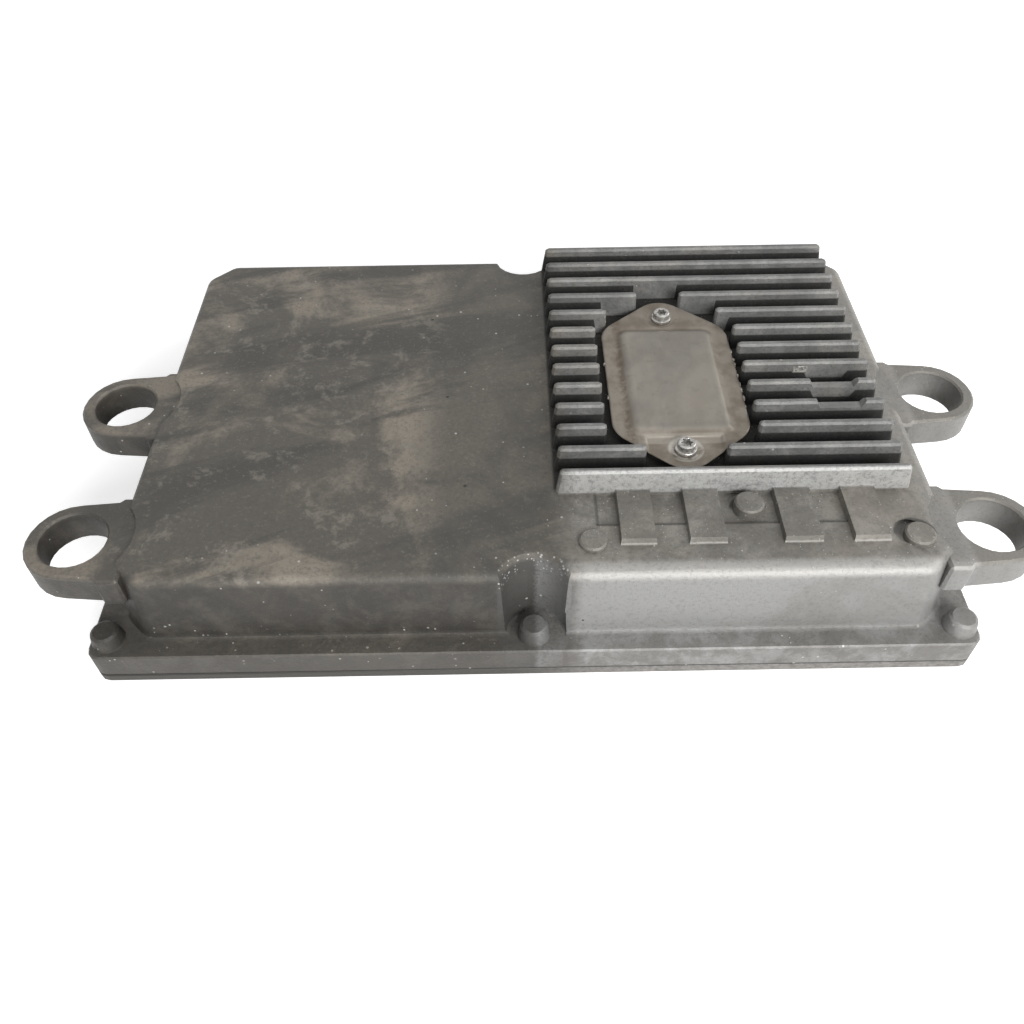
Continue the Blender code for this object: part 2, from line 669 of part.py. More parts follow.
def spot_faces_tool():
    """Round clearance cut into the roof's edge above each ear."""
    bm = bmesh.new()
    radius = EAR_R + SPOT_FACE_CLEAR
    for side, y in ear_places():
        add_cone(bm, side * EAR_X, y, radius, radius + 0.8 * MM, EAR_TOP, CASE_TOP + OVER, 32)
    return make_object("spot_faces", bm)


def ear_holes_tool():
    """Isolator holes through the ears, chamfered at the top and the bottom."""
    bm = bmesh.new()
    wide = EAR_HOLE_R + EAR_CHAMFER + OVER
    heights = (EAR_BOTTOM - OVER, EAR_BOTTOM + EAR_CHAMFER, EAR_TOP - EAR_CHAMFER, EAR_TOP + OVER)
    for side, y in ear_places():
        radii = (wide, EAR_HOLE_R, EAR_HOLE_R, wide)
        loft([(circle(side * EAR_X, y, radius, 26), z) for radius, z in zip(radii, heights)], bm)
    return make_object("ear_holes", bm)


def cavity_tool():
    """Hollow of the case, open at the bottom."""
    heights = (FLANGE_BOTTOM - OVER, FLANGE_TOP, CEILING)
    return make_object("case_cavity", loft([(body_outline(z, -WALL_T), z) for z in heights]))


def cover_outline(offset):
    """Hexagon with two lobes about the cover's screws."""
    lobe_r = COVER_LOBE_R + offset
    corner_r = COVER_CORNER + offset
    reach = COVER_LOBE_Y * math.sin(COVER_SLANT) + lobe_r
    corner_x = COVER_HALF_X + offset - corner_r
    corner_y = (reach - corner_r - corner_x * math.cos(COVER_SLANT)) / math.sin(COVER_SLANT)
    corner = arc(corner_x, corner_y, corner_r, 0.0, COVER_SLANT, 5)
    lobe = arc(0.0, COVER_LOBE_Y, lobe_r, COVER_SLANT, math.pi - COVER_SLANT, 8)
    half = corner + lobe + [(-x, y) for x, y in reversed(corner)]
    return [(COVER_X + x, COVER_Y + y) for x, y in half + [(-x, -y) for x, y in half]]


def emboss_outline(offset):
    return rounded_rectangle(COVER_X, COVER_Y + EMBOSS_Y, EMBOSS_HALF_X + offset, EMBOSS_HALF_Y + offset,
                             max(EMBOSS_CORNER + offset, 1.0 * MM), 3)


def cover_screw_places():
    reach = COVER_LOBE_Y + COVER_SCREW_OUT
    return [(COVER_X, COVER_Y + COVER_SCREW_SHIFT + reach), (COVER_X, COVER_Y + COVER_SCREW_SHIFT - reach)]


def cover_screw_floors():
    """Heights of the two dimples' floors; the front one lies in the sunk tab."""
    return [COVER_TOP - DIMPLE_DEPTH, COVER_TOP - DIMPLE_DEPTH - TAB_DEPTH]


def curb_tool():
    """Raised seat for the access cover."""
    return sheet("cover_curb", [cover_outline(-COVER_OVERHANG)], CASE_TOP - OVER, CURB_TOP)


def window_outline(offset=0.0):
    return rounded_rectangle(COVER_X, COVER_Y, WINDOW_HALF_X + offset, WINDOW_HALF_Y + offset, WINDOW_CORNER)


def window_tool():
    """Access window through the roof and the curb."""
    return sheet("access_window", [window_outline()], CEILING - OVER, CURB_TOP + OVER)


def power_post_places():
    xs = (POWER_BOARD_X[0] + POWER_POST_INSET, POWER_BOARD_X[1] - POWER_POST_INSET)
    ys = (POWER_BOARD_Y[0] + POWER_POST_INSET, POWER_BOARD_Y[1] - POWER_POST_INSET)
    return [(x, y) for x in xs for y in ys]


def logic_post_places():
    xs = (LOGIC_POST_LEFT_INSET - CASE_HALF_X, LOGIC_POST_MIDDLE_X, CASE_HALF_X - LOGIC_POST_RIGHT_INSET)
    return [(x, y) for y in (-LOGIC_POST_Y, LOGIC_POST_Y) for x in xs]


def cover_screw_end():
    """Tip of the deeper of the two cover screws."""
    return min(cover_screw_floors()) + SEAL_CLEAR - COVER_SCREW_LENGTH


def posts_tool():
    """Posts under the roof for the boards, and bosses for the cover's screws."""
    bm = bmesh.new()
    rows = (
        (logic_post_places(), LOGIC_BOARD_TOP + SEAT_GAP),
        (power_post_places(), POWER_BOARD_TOP + SEAT_GAP),
        (cover_screw_places(), cover_screw_end() - 2.0 * HOLE_SPARE),
    )
    up = CEILING + OVER
    for places, z in rows:
        for x, y in places:
            add_cone(bm, x, y, POST_R, POST_R + POST_DRAFT * (up - z), z, up, 10)
    return make_object("roof_posts", bm)


def case_holes_tool():
    """Blind holes for the base, board and cover screws."""
    bm = bmesh.new()
    deep = BOARD_SCREW_LENGTH - BOARD_T + HOLE_SPARE
    rows = (
        (boss_places(), BASE_SCREW_R, FLANGE_BOTTOM - OVER, BASE_SCREW_LENGTH + HOLE_SPARE),
        (logic_post_places(), BOARD_SCREW_R, LOGIC_BOARD_TOP - OVER, LOGIC_BOARD_TOP + deep),
        (power_post_places(), BOARD_SCREW_R, POWER_BOARD_TOP - OVER, POWER_BOARD_TOP + deep),
        (cover_screw_places(), COVER_SCREW_R, cover_screw_end() - HOLE_SPARE, CURB_TOP + OVER),
    )
    for places, radius, z0, z1 in rows:
        for x, y in places:
            add_cone(bm, x, y, radius + HOLE_CLEAR, radius + HOLE_CLEAR, z0, z1, 8)
    return make_object("case_holes", bm)


def seal_outlines(clear=0.0):
    outer = body_outline(FLANGE_BOTTOM, SEAL_OUT + clear)
    inner = body_outline(FLANGE_BOTTOM, SEAL_IN - clear)
    return [outer, inner]


def seal_groove_tool():
    """Groove round the underside of the flange."""
    return sheet("seal_groove", seal_outlines(SEAL_CLEAR), FLANGE_BOTTOM - OVER, FLANGE_BOTTOM + SEAL_DEPTH)


def build_upper_case():
    """The casting, from the outer body to the last hole."""
    case = case_solid(make_material("cast_aluminium", (0.36, 0.34, 0.31), 0.5, 0.9))
    for number, (dx, dy) in enumerate(SCALLOPS, 1):
        cut(case, scallop_tool(number, dx, dy))
    join(case, bevel(sheet("flange", [flange_outline()], FLANGE_BOTTOM, FLANGE_TOP), FLANGE_EDGE))
    join(case, flange_bosses_tool())
    cut(case, recess_tool())
    join(case, pads_tool())
    join(case, fins_tool())
    cut(case, fin_notch_tool())
    cut(case, crescents_tool())
    join(case, round_bosses_tool())
    cut(case, spot_faces_tool())
    join(case, ears_tool())
    join(case, curb_tool())
    cut(case, cavity_tool())
    join(case, posts_tool())
    cut(case, case_holes_tool())
    cut(case, window_tool())
    cut(case, ear_holes_tool())
    cut(case, seal_groove_tool())
    return case


def header_outline(x, columns, offset):
    """Plan outline of a header's body, moved outward."""
    half_x = 0.5 * (columns - 1) * PIN_PITCH + HEADER_END + offset
    return rounded_rectangle(x, HEADER_Y, half_x, HEADER_HALF_Y + offset, max(HEADER_CORNER + offset, 0.7 * MM))


def header_rows():
    """Name, middle and pin columns of each header; two long ones and one half as long fill the width."""
    room = 2.0 * (CASE_HALF_X - HEADER_SIDE_INSET) - 2.0 * HEADER_GAP - 6.0 * HEADER_END
    columns = 2
    while (2 * columns + (columns + 1) // 2 - 1) * PIN_PITCH <= room:
        columns += 1
    rows = []
    left = HEADER_SIDE_INSET - CASE_HALF_X
    for name, count in (("injector_header", columns), ("engine_header", columns), ("supply_header", columns // 2)):
        width = (count - 1) * PIN_PITCH + 2.0 * HEADER_END
        rows.append((name, left + 0.5 * width, count))
        left += width + HEADER_GAP
    return rows


def build_base_plate():
    """Flat plate with a window for each header and countersunk screw holes."""
    windows = [header_outline(x, columns, HEADER_WINDOW_CLEAR) for _, x, columns in header_rows()]
    plate = sheet("base_plate", [flange_outline()] + windows, 0.0, PLATE_T,
                  make_material("plate_aluminium", (0.42, 0.41, 0.38), 0.5, 0.9))
    bevel(plate, PLATE_EDGE)
    shanks = bmesh.new()
    sinks = bmesh.new()
    head_r = BASE_SCREW_HEAD_R + HOLE_CLEAR
    shank_r = BASE_SCREW_R + HOLE_CLEAR
    level = 2.0 * HOLE_CLEAR
    for x, y in boss_places():
        add_cone(shanks, x, y, shank_r, shank_r, -OVER, PLATE_T + OVER, 12)
        add_cone(sinks, x, y, head_r + OVER, shank_r, level - OVER, level + head_r - shank_r, 12)
    cut(plate, make_object("plate_screw_holes", shanks))
    return cut(plate, make_object("plate_countersinks", sinks))


def build_case_seal():
    """Moulded ring that lies in the flange's groove."""
    return sheet("case_seal", seal_outlines(), PLATE_T + 0.1 * MM, FLANGE_BOTTOM + SEAL_DEPTH - SEAL_CLEAR,
                 make_material("seal_rubber", (0.03, 0.03, 0.03), 0.7, 0.0))


def drive_tool(name, x, y, z0, z1):
    """Six-sided drive recess."""
    bm = bmesh.new()
    add_cone(bm, x, y, DRIVE_R, DRIVE_R, z0, z1, 6)
    return make_object(name, bm)


def build_base_screws():
    """Countersunk screws from below, their heads just inside the plate's underside."""
    material = make_material("plated_steel", (0.45, 0.44, 0.42), 0.35, 1.0)
    head_z = 2.0 * HOLE_CLEAR
    sink = BASE_SCREW_HEAD_R - BASE_SCREW_R
    profile = [
        (0.0, BASE_SCREW_LENGTH), (BASE_SCREW_R, BASE_SCREW_LENGTH), (BASE_SCREW_R, head_z + sink),
        (BASE_SCREW_HEAD_R, head_z), (0.0, head_z),
    ]
    for number, (x, y) in enumerate(boss_places(), 1):
        screw = turned("base_screw_%d" % number, profile, material, 12, (x, y, 0.0))
        shade(cut(screw, drive_tool("base_drive_%d" % number, x, y, head_z - OVER, head_z + DRIVE_DEPTH)))


def tab_tool():
    """Step down round the front screw, with a sloped rear edge."""
    rear = COVER_Y + EMBOSS_Y - EMBOSS_HALF_Y - 0.1 * MM
    front = COVER_Y - COVER_LOBE_Y - COVER_LOBE_R - OVER
    low = rectangle(COVER_X - TAB_HALF_X, COVER_X + TAB_HALF_X, front, rear - TAB_SLOPE)
    high = rectangle(COVER_X - TAB_HALF_X - TAB_DEPTH, COVER_X + TAB_HALF_X + TAB_DEPTH, front, rear)
    return make_object("cover_tab", loft([(low, COVER_TOP - TAB_DEPTH), (high, COVER_TOP), (high, COVER_TOP + OVER)]))


def build_cover():
    """Stamped cover: raised middle, hollow below, sunk front tab, and a round dimple at each screw."""
    cover = sheet("access_cover", [cover_outline(0.0)], COVER_BOTTOM, COVER_TOP,
                  make_material("stamped_steel", (0.40, 0.37, 0.33), 0.45, 0.8))
    bevel(cover, COVER_EDGE)
    slope = EMBOSS_SLOPE
    rise = ((0.0, -0.3 * MM), (0.06, 0.0), (0.35, 0.35 * EMBOSS_H), (0.7, 0.85 * EMBOSS_H), (1.0, EMBOSS_H))
    join(cover, make_object("cover_emboss", loft([(emboss_outline(-share * slope), COVER_TOP + z) for share, z in rise])))
    cut(cover, make_object("cover_hollow", loft([
        (emboss_outline(-COVER_T), COVER_BOTTOM - OVER), (emboss_outline(-COVER_T), COVER_BOTTOM),
        (emboss_outline(-COVER_T - slope), COVER_BOTTOM + EMBOSS_H),
    ])))
    cut(cover, tab_tool())
    dimples = bmesh.new()
    holes = bmesh.new()
    for (x, y), floor in zip(cover_screw_places(), cover_screw_floors()):
        add_cone(dimples, x, y, DIMPLE_R, DIMPLE_R + 0.4 * MM, floor, floor + EMBOSS_H + 2.0 * OVER, 20)
        add_cone(holes, x, y, COVER_SCREW_R + HOLE_CLEAR, COVER_SCREW_R + HOLE_CLEAR, COVER_BOTTOM - OVER, floor + OVER, 12)
    cut(cover, make_object("cover_dimples", dimples))
    return shade(cut(cover, make_object("cover_screw_holes", holes)))


def build_cover_gasket():
    """Flat gasket between the curb and the cover."""
    holes = [circle(x, y, COVER_SCREW_R + 2.0 * HOLE_CLEAR, 12) for x, y in cover_screw_places()]
    outlines = [cover_outline(-COVER_OVERHANG - GASKET_INSET), window_outline(0.5 * MM)] + holes
    z = CURB_TOP + SEAL_CLEAR
    return sheet("cover_gasket", outlines, z, z + GASKET_T,
                 make_material("gasket_rubber", (0.05, 0.05, 0.05), 0.7, 0.0))


def build_cover_screws():
    """Two cap screws with a collar, a rounded head and a six-sided drive."""
    material = make_material("screw_steel", (0.50, 0.49, 0.47), 0.3, 1.0)
    edge = COVER_SCREW_EDGE
    rows = zip(("cover_screw_rear", "cover_screw_front"), cover_screw_places(), cover_screw_floors())
    for name, (x, y), floor in rows:
        seat = floor + SEAL_CLEAR
        top = seat + COVER_SCREW_HEAD_H
        tip = seat - COVER_SCREW_LENGTH
        profile = [(0.0, top)] + arc(COVER_SCREW_HEAD_R - edge, top - edge, edge, math.pi / 2.0, 0.0, 3) + [
            (COVER_SCREW_HEAD_R, seat + COVER_SCREW_COLLAR_H), (COVER_SCREW_COLLAR_R, seat + 0.8 * COVER_SCREW_COLLAR_H),
            (COVER_SCREW_COLLAR_R, seat), (COVER_SCREW_R, seat), (COVER_SCREW_R, tip), (0.0, tip),
        ]
        screw = turned(name, profile, material, 16, (x, y, 0.0))
        shade(cut(screw, drive_tool(name + "_drive", x, y, top - DRIVE_DEPTH, top + OVER)))


def build_boards():
    """The logic board fills the case; the power board hangs over its right half."""
    material = make_material("board_green", (0.02, 0.10, 0.05), 0.5, 0.0)
    radius = BOARD_SCREW_R + 2.0 * HOLE_CLEAR
    outline = body_outline(FLANGE_TOP, -WALL_T - BOARD_EDGE_CLEAR)
    holes = [circle(x, y, radius, 8) for x, y in logic_post_places()]
    sheet("logic_board", [outline] + holes, LOGIC_BOARD_Z, LOGIC_BOARD_TOP, material)
    outline = fillet(rectangle(*POWER_BOARD_X, *POWER_BOARD_Y), 2.0 * MM, 2)
    holes = [circle(x, y, radius, 8) for x, y in power_post_places()]
    sheet("power_board", [outline] + holes, POWER_BOARD_Z, POWER_BOARD_TOP, material)


def build_board_screws():
    """Screws up through the boards into the posts."""
    material = make_material("board_screw_steel", (0.5, 0.49, 0.47), 0.35, 1.0)
    rows = (("logic_screw", logic_post_places(), LOGIC_BOARD_Z), ("power_screw", power_post_places(), POWER_BOARD_Z))
    for stem, places, z in rows:
        seat = z - SEAL_CLEAR
        tip = seat + BOARD_SCREW_LENGTH
        low = seat - BOARD_SCREW_HEAD_H
        profile = [(0.0, tip), (BOARD_SCREW_R, tip), (BOARD_SCREW_R, seat), (BOARD_SCREW_HEAD_R, seat),
                   (0.8 * BOARD_SCREW_HEAD_R, low), (0.0, low)]
        for number, (x, y) in enumerate(places, 1):
            shade(turned("%s_%d" % (stem, number), profile, material, 10, (x, y, 0.0)))


def build_headers():
    """Pin headers that face down, each with a seal between its flange and the plate."""
    plastic = make_material("header_plastic", (0.03, 0.03, 0.03), 0.45, 0.0)
    rubber = make_material("header_rubber", (0.20, 0.06, 0.03), 0.7, 0.0)
    seal_z = PLATE_T + SEAL_CLEAR
    flange_z = seal_z + HEADER_SEAL_T + SEAL_CLEAR
    for name, x, columns in header_rows():
        header = sheet(name, [header_outline(x, columns, 0.0)], HEADER_MOUTH_Z, LOGIC_BOARD_Z - SEAT_GAP, plastic)
        join(header, sheet(name + "_flange", [header_outline(x, columns, HEADER_FLANGE)], flange_z,
                           flange_z + HEADER_FLANGE_T))
        cut(header, sheet(name + "_hollow", [header_outline(x, columns, -HEADER_WALL)], HEADER_MOUTH_Z - OVER,
                          HEADER_FLOOR_Z))
        join(header, pins_tool(name + "_pins", x, columns))
        outer = header_outline(x, columns, HEADER_FLANGE - HEADER_SEAL_INSET)
        inner = header_outline(x, columns, HEADER_WINDOW_CLEAR + HEADER_SEAL_INSET)
        sheet(name + "_seal", [outer, inner], seal_z, seal_z + HEADER_SEAL_T, rubber)


def pins_tool(name, x, columns):
    """Rows of tapered square pins, let into the header's floor."""
    bm = bmesh.new()
    for column in range(columns):
        for row in range(PIN_ROWS):
            px = x + (column - 0.5 * (columns - 1)) * PIN_PITCH
            py = HEADER_Y + (row - 0.5 * (PIN_ROWS - 1)) * PIN_ROW_PITCH
            add_cone(bm, px, py, PIN_TIP_R, PIN_R, HEADER_MOUTH_Z + PIN_RECESS, HEADER_FLOOR_Z + OVER, 4)
    return make_object(name, bm)


def build_capacitors():
    """Smoothing capacitors that lie on the logic board, with a crimp near the lead end."""
    material = make_material("capacitor_sleeve", (0.02, 0.03, 0.06), 0.4, 0.0)
    half = 0.5 * CAPACITOR_L
    edge = CAPACITOR_EDGE
    crimp = half - CAPACITOR_CRIMP
    profile = [
        (0.0, half), (CAPACITOR_R - edge, half), (CAPACITOR_R, crimp + edge), (CAPACITOR_R - edge, crimp),
        (CAPACITOR_R, crimp - edge), (CAPACITOR_R, -half), (0.0, -half),
    ]
    z = LOGIC_BOARD_TOP + SEAT_GAP + CAPACITOR_R
    for number in range(CAPACITOR_COUNT):
        y = CAPACITOR_Y + number * CAPACITOR_PITCH
        item = turned("capacitor_%d" % (number + 1), profile, material, 12, (CAPACITOR_X, y, z))
        item.rotation_euler = (0.0, math.pi / 2.0, 0.0)
        shade(item)


def build_inductors():
    """Ring inductors that lie flat on the logic board."""
    material = make_material("copper_winding", (0.40, 0.16, 0.07), 0.4, 0.8)
    z = LOGIC_BOARD_TOP + SEAT_GAP + INDUCTOR_MINOR
    for number in range(2):
        bpy.ops.mesh.primitive_torus_add(
            major_segments=16, minor_segments=6, major_radius=INDUCTOR_MAJOR, minor_radius=INDUCTOR_MINOR)
        mesh = bpy.context.object.data
        bpy.data.objects.remove(bpy.context.object)
        item = place_mesh("inductor_%d" % (number + 1), mesh, material)
        item.location = (INDUCTOR_X, INDUCTOR_Y + number * INDUCTOR_PITCH, z)
        shade(item)


def slab(name, x, y, size, z, material, edge):
    """Moulded block with broken edges, seated at z."""
    half_x, half_y = 0.5 * size[0], 0.5 * size[1]
    return bevel(box(name, x - half_x, x + half_x, y - half_y, y + half_y, z, z + size[2], material), edge)


def build_board_parts():
    """Coil, chips, link strip, transistors and test terminals."""
    dark = make_material("chip_plastic", (0.03, 0.03, 0.035), 0.5, 0.0)
    ferrite = make_material("ferrite", (0.06, 0.06, 0.065), 0.6, 0.2)
    white = make_material("link_plastic", (0.55, 0.53, 0.48), 0.5, 0.0)
    seat = LOGIC_BOARD_TOP + SEAL_CLEAR
    coil_y = INDUCTOR_Y + INDUCTOR_PITCH + COIL_FROM_INDUCTOR
    driver_y = CAPACITOR_Y + (CAPACITOR_COUNT - 1) * CAPACITOR_PITCH + DRIVER_FROM_CAPACITOR
    slab("boost_coil", INDUCTOR_X, coil_y, COIL_SIZE, seat, ferrite, 1.5 * MM)
    slab("processor_chip", INDUCTOR_X + CHIP_FROM_COIL[0], coil_y + CHIP_FROM_COIL[1], CHIP_SIZE, seat, dark, 0.5 * MM)
    slab("driver_chip", CAPACITOR_X, driver_y, DRIVER_SIZE, seat, dark, 0.5 * MM)
    link = (LINK_SIZE_X, LINK_SIZE_Y, POWER_BOARD_Z - LOGIC_BOARD_TOP - 2.0 * SEAL_CLEAR)
    link_x = 0.5 * (POWER_BOARD_X[0] + POWER_BOARD_X[1]) + LINK_PLACE[0]
    slab("board_link", link_x, POWER_BOARD_Y[0] + LINK_PLACE[1], link, seat, white, 0.4 * MM)
    tab = make_material("transistor_tab", (0.30, 0.29, 0.28), 0.4, 0.8)
    room = POWER_BOARD_Y[1] - POWER_BOARD_Y[0] - 2.0 * TRANSISTOR_END
    for number in range(1 + int(room / TRANSISTOR_PITCH + 0.001)):
        y = POWER_BOARD_Y[0] + TRANSISTOR_END + number * TRANSISTOR_PITCH
        build_transistor("power_transistor_%d" % (number + 1), y, tab)
    brass = make_material("terminal_brass", (0.45, 0.33, 0.14), 0.35, 1.0)
    z = POWER_BOARD_TOP + SEAL_CLEAR
    profile = [(0.0, z + TERMINAL_H), (0.75 * TERMINAL_R, z + TERMINAL_H), (TERMINAL_R, z + 0.6 * TERMINAL_H),
               (TERMINAL_R, z), (0.0, z)]
    for number in range(TERMINAL_COUNT):
        x = COVER_X + TERMINAL_PLACE[0] + (number - 0.5 * (TERMINAL_COUNT - 1)) * TERMINAL_PITCH
        shade(turned("test_terminal_%d" % (number + 1), profile, brass, 12, (x, COVER_Y + TERMINAL_PLACE[1], 0.0)))


def build_transistor(name, y, material):
    """Flat-pack transistor: moulded body with a longer tab on top, against the roof."""
    z0 = POWER_BOARD_TOP + SEAL_CLEAR
    z1 = CEILING - SEAT_GAP
    middle = POWER_BOARD_X[1] - TRANSISTOR_SIDE_INSET
    x0, x1 = middle - 0.5 * TRANSISTOR_W, middle + 0.5 * TRANSISTOR_W
    y0, y1 = y - 0.5 * TRANSISTOR_L, y + 0.5 * TRANSISTOR_L
    item = box(name, x0, x1, y0, y + 0.1 * TRANSISTOR_L, z0, z1 - 0.5 * TRANSISTOR_TAB_T, material)
    return join(item, box(name + "_tab", x0 + 0.4 * MM, x1 - 0.4 * MM, y0 + 0.4 * MM, y1, z1 - TRANSISTOR_TAB_T, z1))


clear_scene()
build_upper_case()
build_base_plate()
build_case_seal()
build_base_screws()
build_cover()
build_cover_gasket()
build_cover_screws()
build_boards()
build_board_screws()
build_headers()
build_capacitors()
build_inductors()
build_board_parts()
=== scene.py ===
import bpy
import bmesh
import math
import numpy as np
from mathutils import Matrix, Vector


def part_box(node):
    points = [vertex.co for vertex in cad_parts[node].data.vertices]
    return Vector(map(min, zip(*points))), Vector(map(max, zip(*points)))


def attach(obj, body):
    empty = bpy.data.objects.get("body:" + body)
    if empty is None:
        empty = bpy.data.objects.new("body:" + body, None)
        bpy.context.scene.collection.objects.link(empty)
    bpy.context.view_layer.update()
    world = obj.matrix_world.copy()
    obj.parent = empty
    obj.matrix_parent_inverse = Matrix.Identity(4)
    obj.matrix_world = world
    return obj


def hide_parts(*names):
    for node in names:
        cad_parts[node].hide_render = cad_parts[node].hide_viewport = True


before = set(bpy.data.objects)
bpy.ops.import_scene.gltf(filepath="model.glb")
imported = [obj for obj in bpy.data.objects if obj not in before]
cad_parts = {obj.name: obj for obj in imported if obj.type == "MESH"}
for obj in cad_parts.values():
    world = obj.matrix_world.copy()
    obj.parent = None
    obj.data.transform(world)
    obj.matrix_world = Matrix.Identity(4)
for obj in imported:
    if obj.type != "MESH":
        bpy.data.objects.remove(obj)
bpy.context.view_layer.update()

# The view: a hand-held camera above the front edge, looking down at the lid about 48 degrees,
# with a lens that takes in the whole module and leaves white round it.
tilt, turn, lean = math.radians(48.2605), math.radians(0.0063), math.radians(-0.9390)
ahead = np.array([math.sin(turn) * math.cos(tilt), math.cos(turn) * math.cos(tilt), -math.sin(tilt)])
across = np.array([math.cos(turn), -math.sin(turn), 0.0])
above = np.cross(across, ahead)
stand = np.eye(4)
stand[:3, 0] = math.cos(lean) * across + math.sin(lean) * above
stand[:3, 1] = math.cos(lean) * above - math.sin(lean) * across
stand[:3, 2] = -ahead
stand[:3, 3] = (-0.00609, -0.24164, 0.24723)
camera = bpy.data.objects.new("camera", bpy.data.cameras.new("camera"))
camera.data.sensor_width = 36.0
camera.data.lens = 32.54
camera.data.clip_start = 0.01
camera.matrix_world = Matrix(stand.tolist())
bpy.context.scene.collection.objects.link(camera)
bpy.context.scene.camera = camera
bpy.context.scene.view_settings.view_transform = "Standard"


# The bench: a pale matt board that the module lies on, wide enough to fill every view.
# It shows white to the lens and to gloss, and still takes the module's shadow.
def seen_white(tree, dark, target):
    """Feed a colour socket with white on camera, glossy and transmission rays, and with a grey on all others."""
    rays = tree.nodes.new("ShaderNodeLightPath")
    share = rays.outputs["Is Camera Ray"]
    for other in ("Is Glossy Ray", "Is Transmission Ray"):
        larger = tree.nodes.new("ShaderNodeMath")
        larger.operation = "MAXIMUM"
        tree.links.new(share, larger.inputs[0])
        tree.links.new(rays.outputs[other], larger.inputs[1])
        share = larger.outputs[0]
    mixed = tree.nodes.new("ShaderNodeMix")
    mixed.data_type = "RGBA"
    mixed.inputs[6].default_value = (dark, dark, dark, 1.0)
    mixed.inputs[7].default_value = (1.0, 1.0, 1.0, 1.0)
    tree.links.new(share, mixed.inputs[0])
    tree.links.new(mixed.outputs[2], target)


reach = 3.0
board = bpy.data.meshes.new("bench_top")
board.from_pydata([(-reach, -reach, 0.0), (reach, -reach, 0.0), (reach, reach, 0.0), (-reach, reach, 0.0)],
                  [], [(0, 1, 2, 3)])
bench = bpy.data.objects.new("bench_top", board)
bpy.context.scene.collection.objects.link(bench)
bench_paint = bpy.data.materials.new("bench_paint")
bench_paint.use_nodes = True
bench_shader = bench_paint.node_tree.nodes["Principled BSDF"]
bench_shader.inputs["Base Color"].default_value = (0.9, 0.9, 0.9, 1.0)
bench_shader.inputs["Roughness"].default_value = 0.8
bench_shader.inputs["Emission Strength"].default_value = 0.55
seen_white(bench_paint.node_tree, 0.0, bench_shader.inputs["Emission Color"])
board.materials.append(bench_paint)


# The room's light: a faint even grey from all round, a low window in front and to the right that lights
# the faces turned to the lens, and weaker ones above and behind on the right. The lens and gloss see white.
def lamp(name, place, size, power):
    """Flat rectangular light that faces from its place towards the middle of the bench."""
    place = np.array(place)
    back = place / np.linalg.norm(place)
    side = np.cross((0.0, 0.0, 1.0), back)
    side = side / np.linalg.norm(side)
    pose = np.eye(4)
    pose[:3, 0], pose[:3, 1], pose[:3, 2], pose[:3, 3] = side, np.cross(back, side), back, place
    made = bpy.data.objects.new(name, bpy.data.lights.new(name, "AREA"))
    made.data.shape = "RECTANGLE"
    made.data.size, made.data.size_y = size
    made.data.energy = power
    made.matrix_world = Matrix(pose.tolist())
    bpy.context.scene.collection.objects.link(made)


room = bpy.data.worlds.new("room")
bpy.context.scene.world = room
room.use_nodes = True
seen_white(room.node_tree, 0.26, room.node_tree.nodes["Background"].inputs[0])
lamp("front_window", (0.38, -0.95, 0.62), (0.9, 0.40), 15.0)
lamp("top_window", (-0.1, 0.15, 1.3), (1.0, 0.8), 2.0)
lamp("side_window", (1.05, 0.50, 0.42), (0.8, 0.5), 4.5)


# The upper case: one aluminium casting with its ears, screw bosses, fins and pads, as it came from
# the mould, with every corner rounded. Years under the bonnet have left it dull, with brown grime
# over the flat left part, cleaner metal towards the right and bright, rubbed edges. Its colour also
# holds painted light: painted shadow over the left part and its walls, painted highlights on the
# pads' front slopes, the first fin, the front edge and the pocket rim, glints on the lid, and painted
# shade between the fins, along the pads' recess, behind two bosses and in the front pocket.
class Wire:
    """One output of a shader node, added, taken away and multiplied like a number."""

    def __init__(self, finish, socket):
        self.finish, self.socket = finish, socket

    def maths(self, operation, first, second):
        return self.finish.node("ShaderNodeMath", {"operation": operation}, {0: first, 1: second})

    def __add__(self, other):
        return self.maths("ADD", self, other)

    def __radd__(self, other):
        return self.maths("ADD", other, self)

    def __sub__(self, other):
        return self.maths("SUBTRACT", self, other)

    def __rsub__(self, other):
        return self.maths("SUBTRACT", other, self)

    def __mul__(self, other):
        return self.maths("MULTIPLY", self, other)

    def __rmul__(self, other):
        return self.maths("MULTIPLY", other, self)


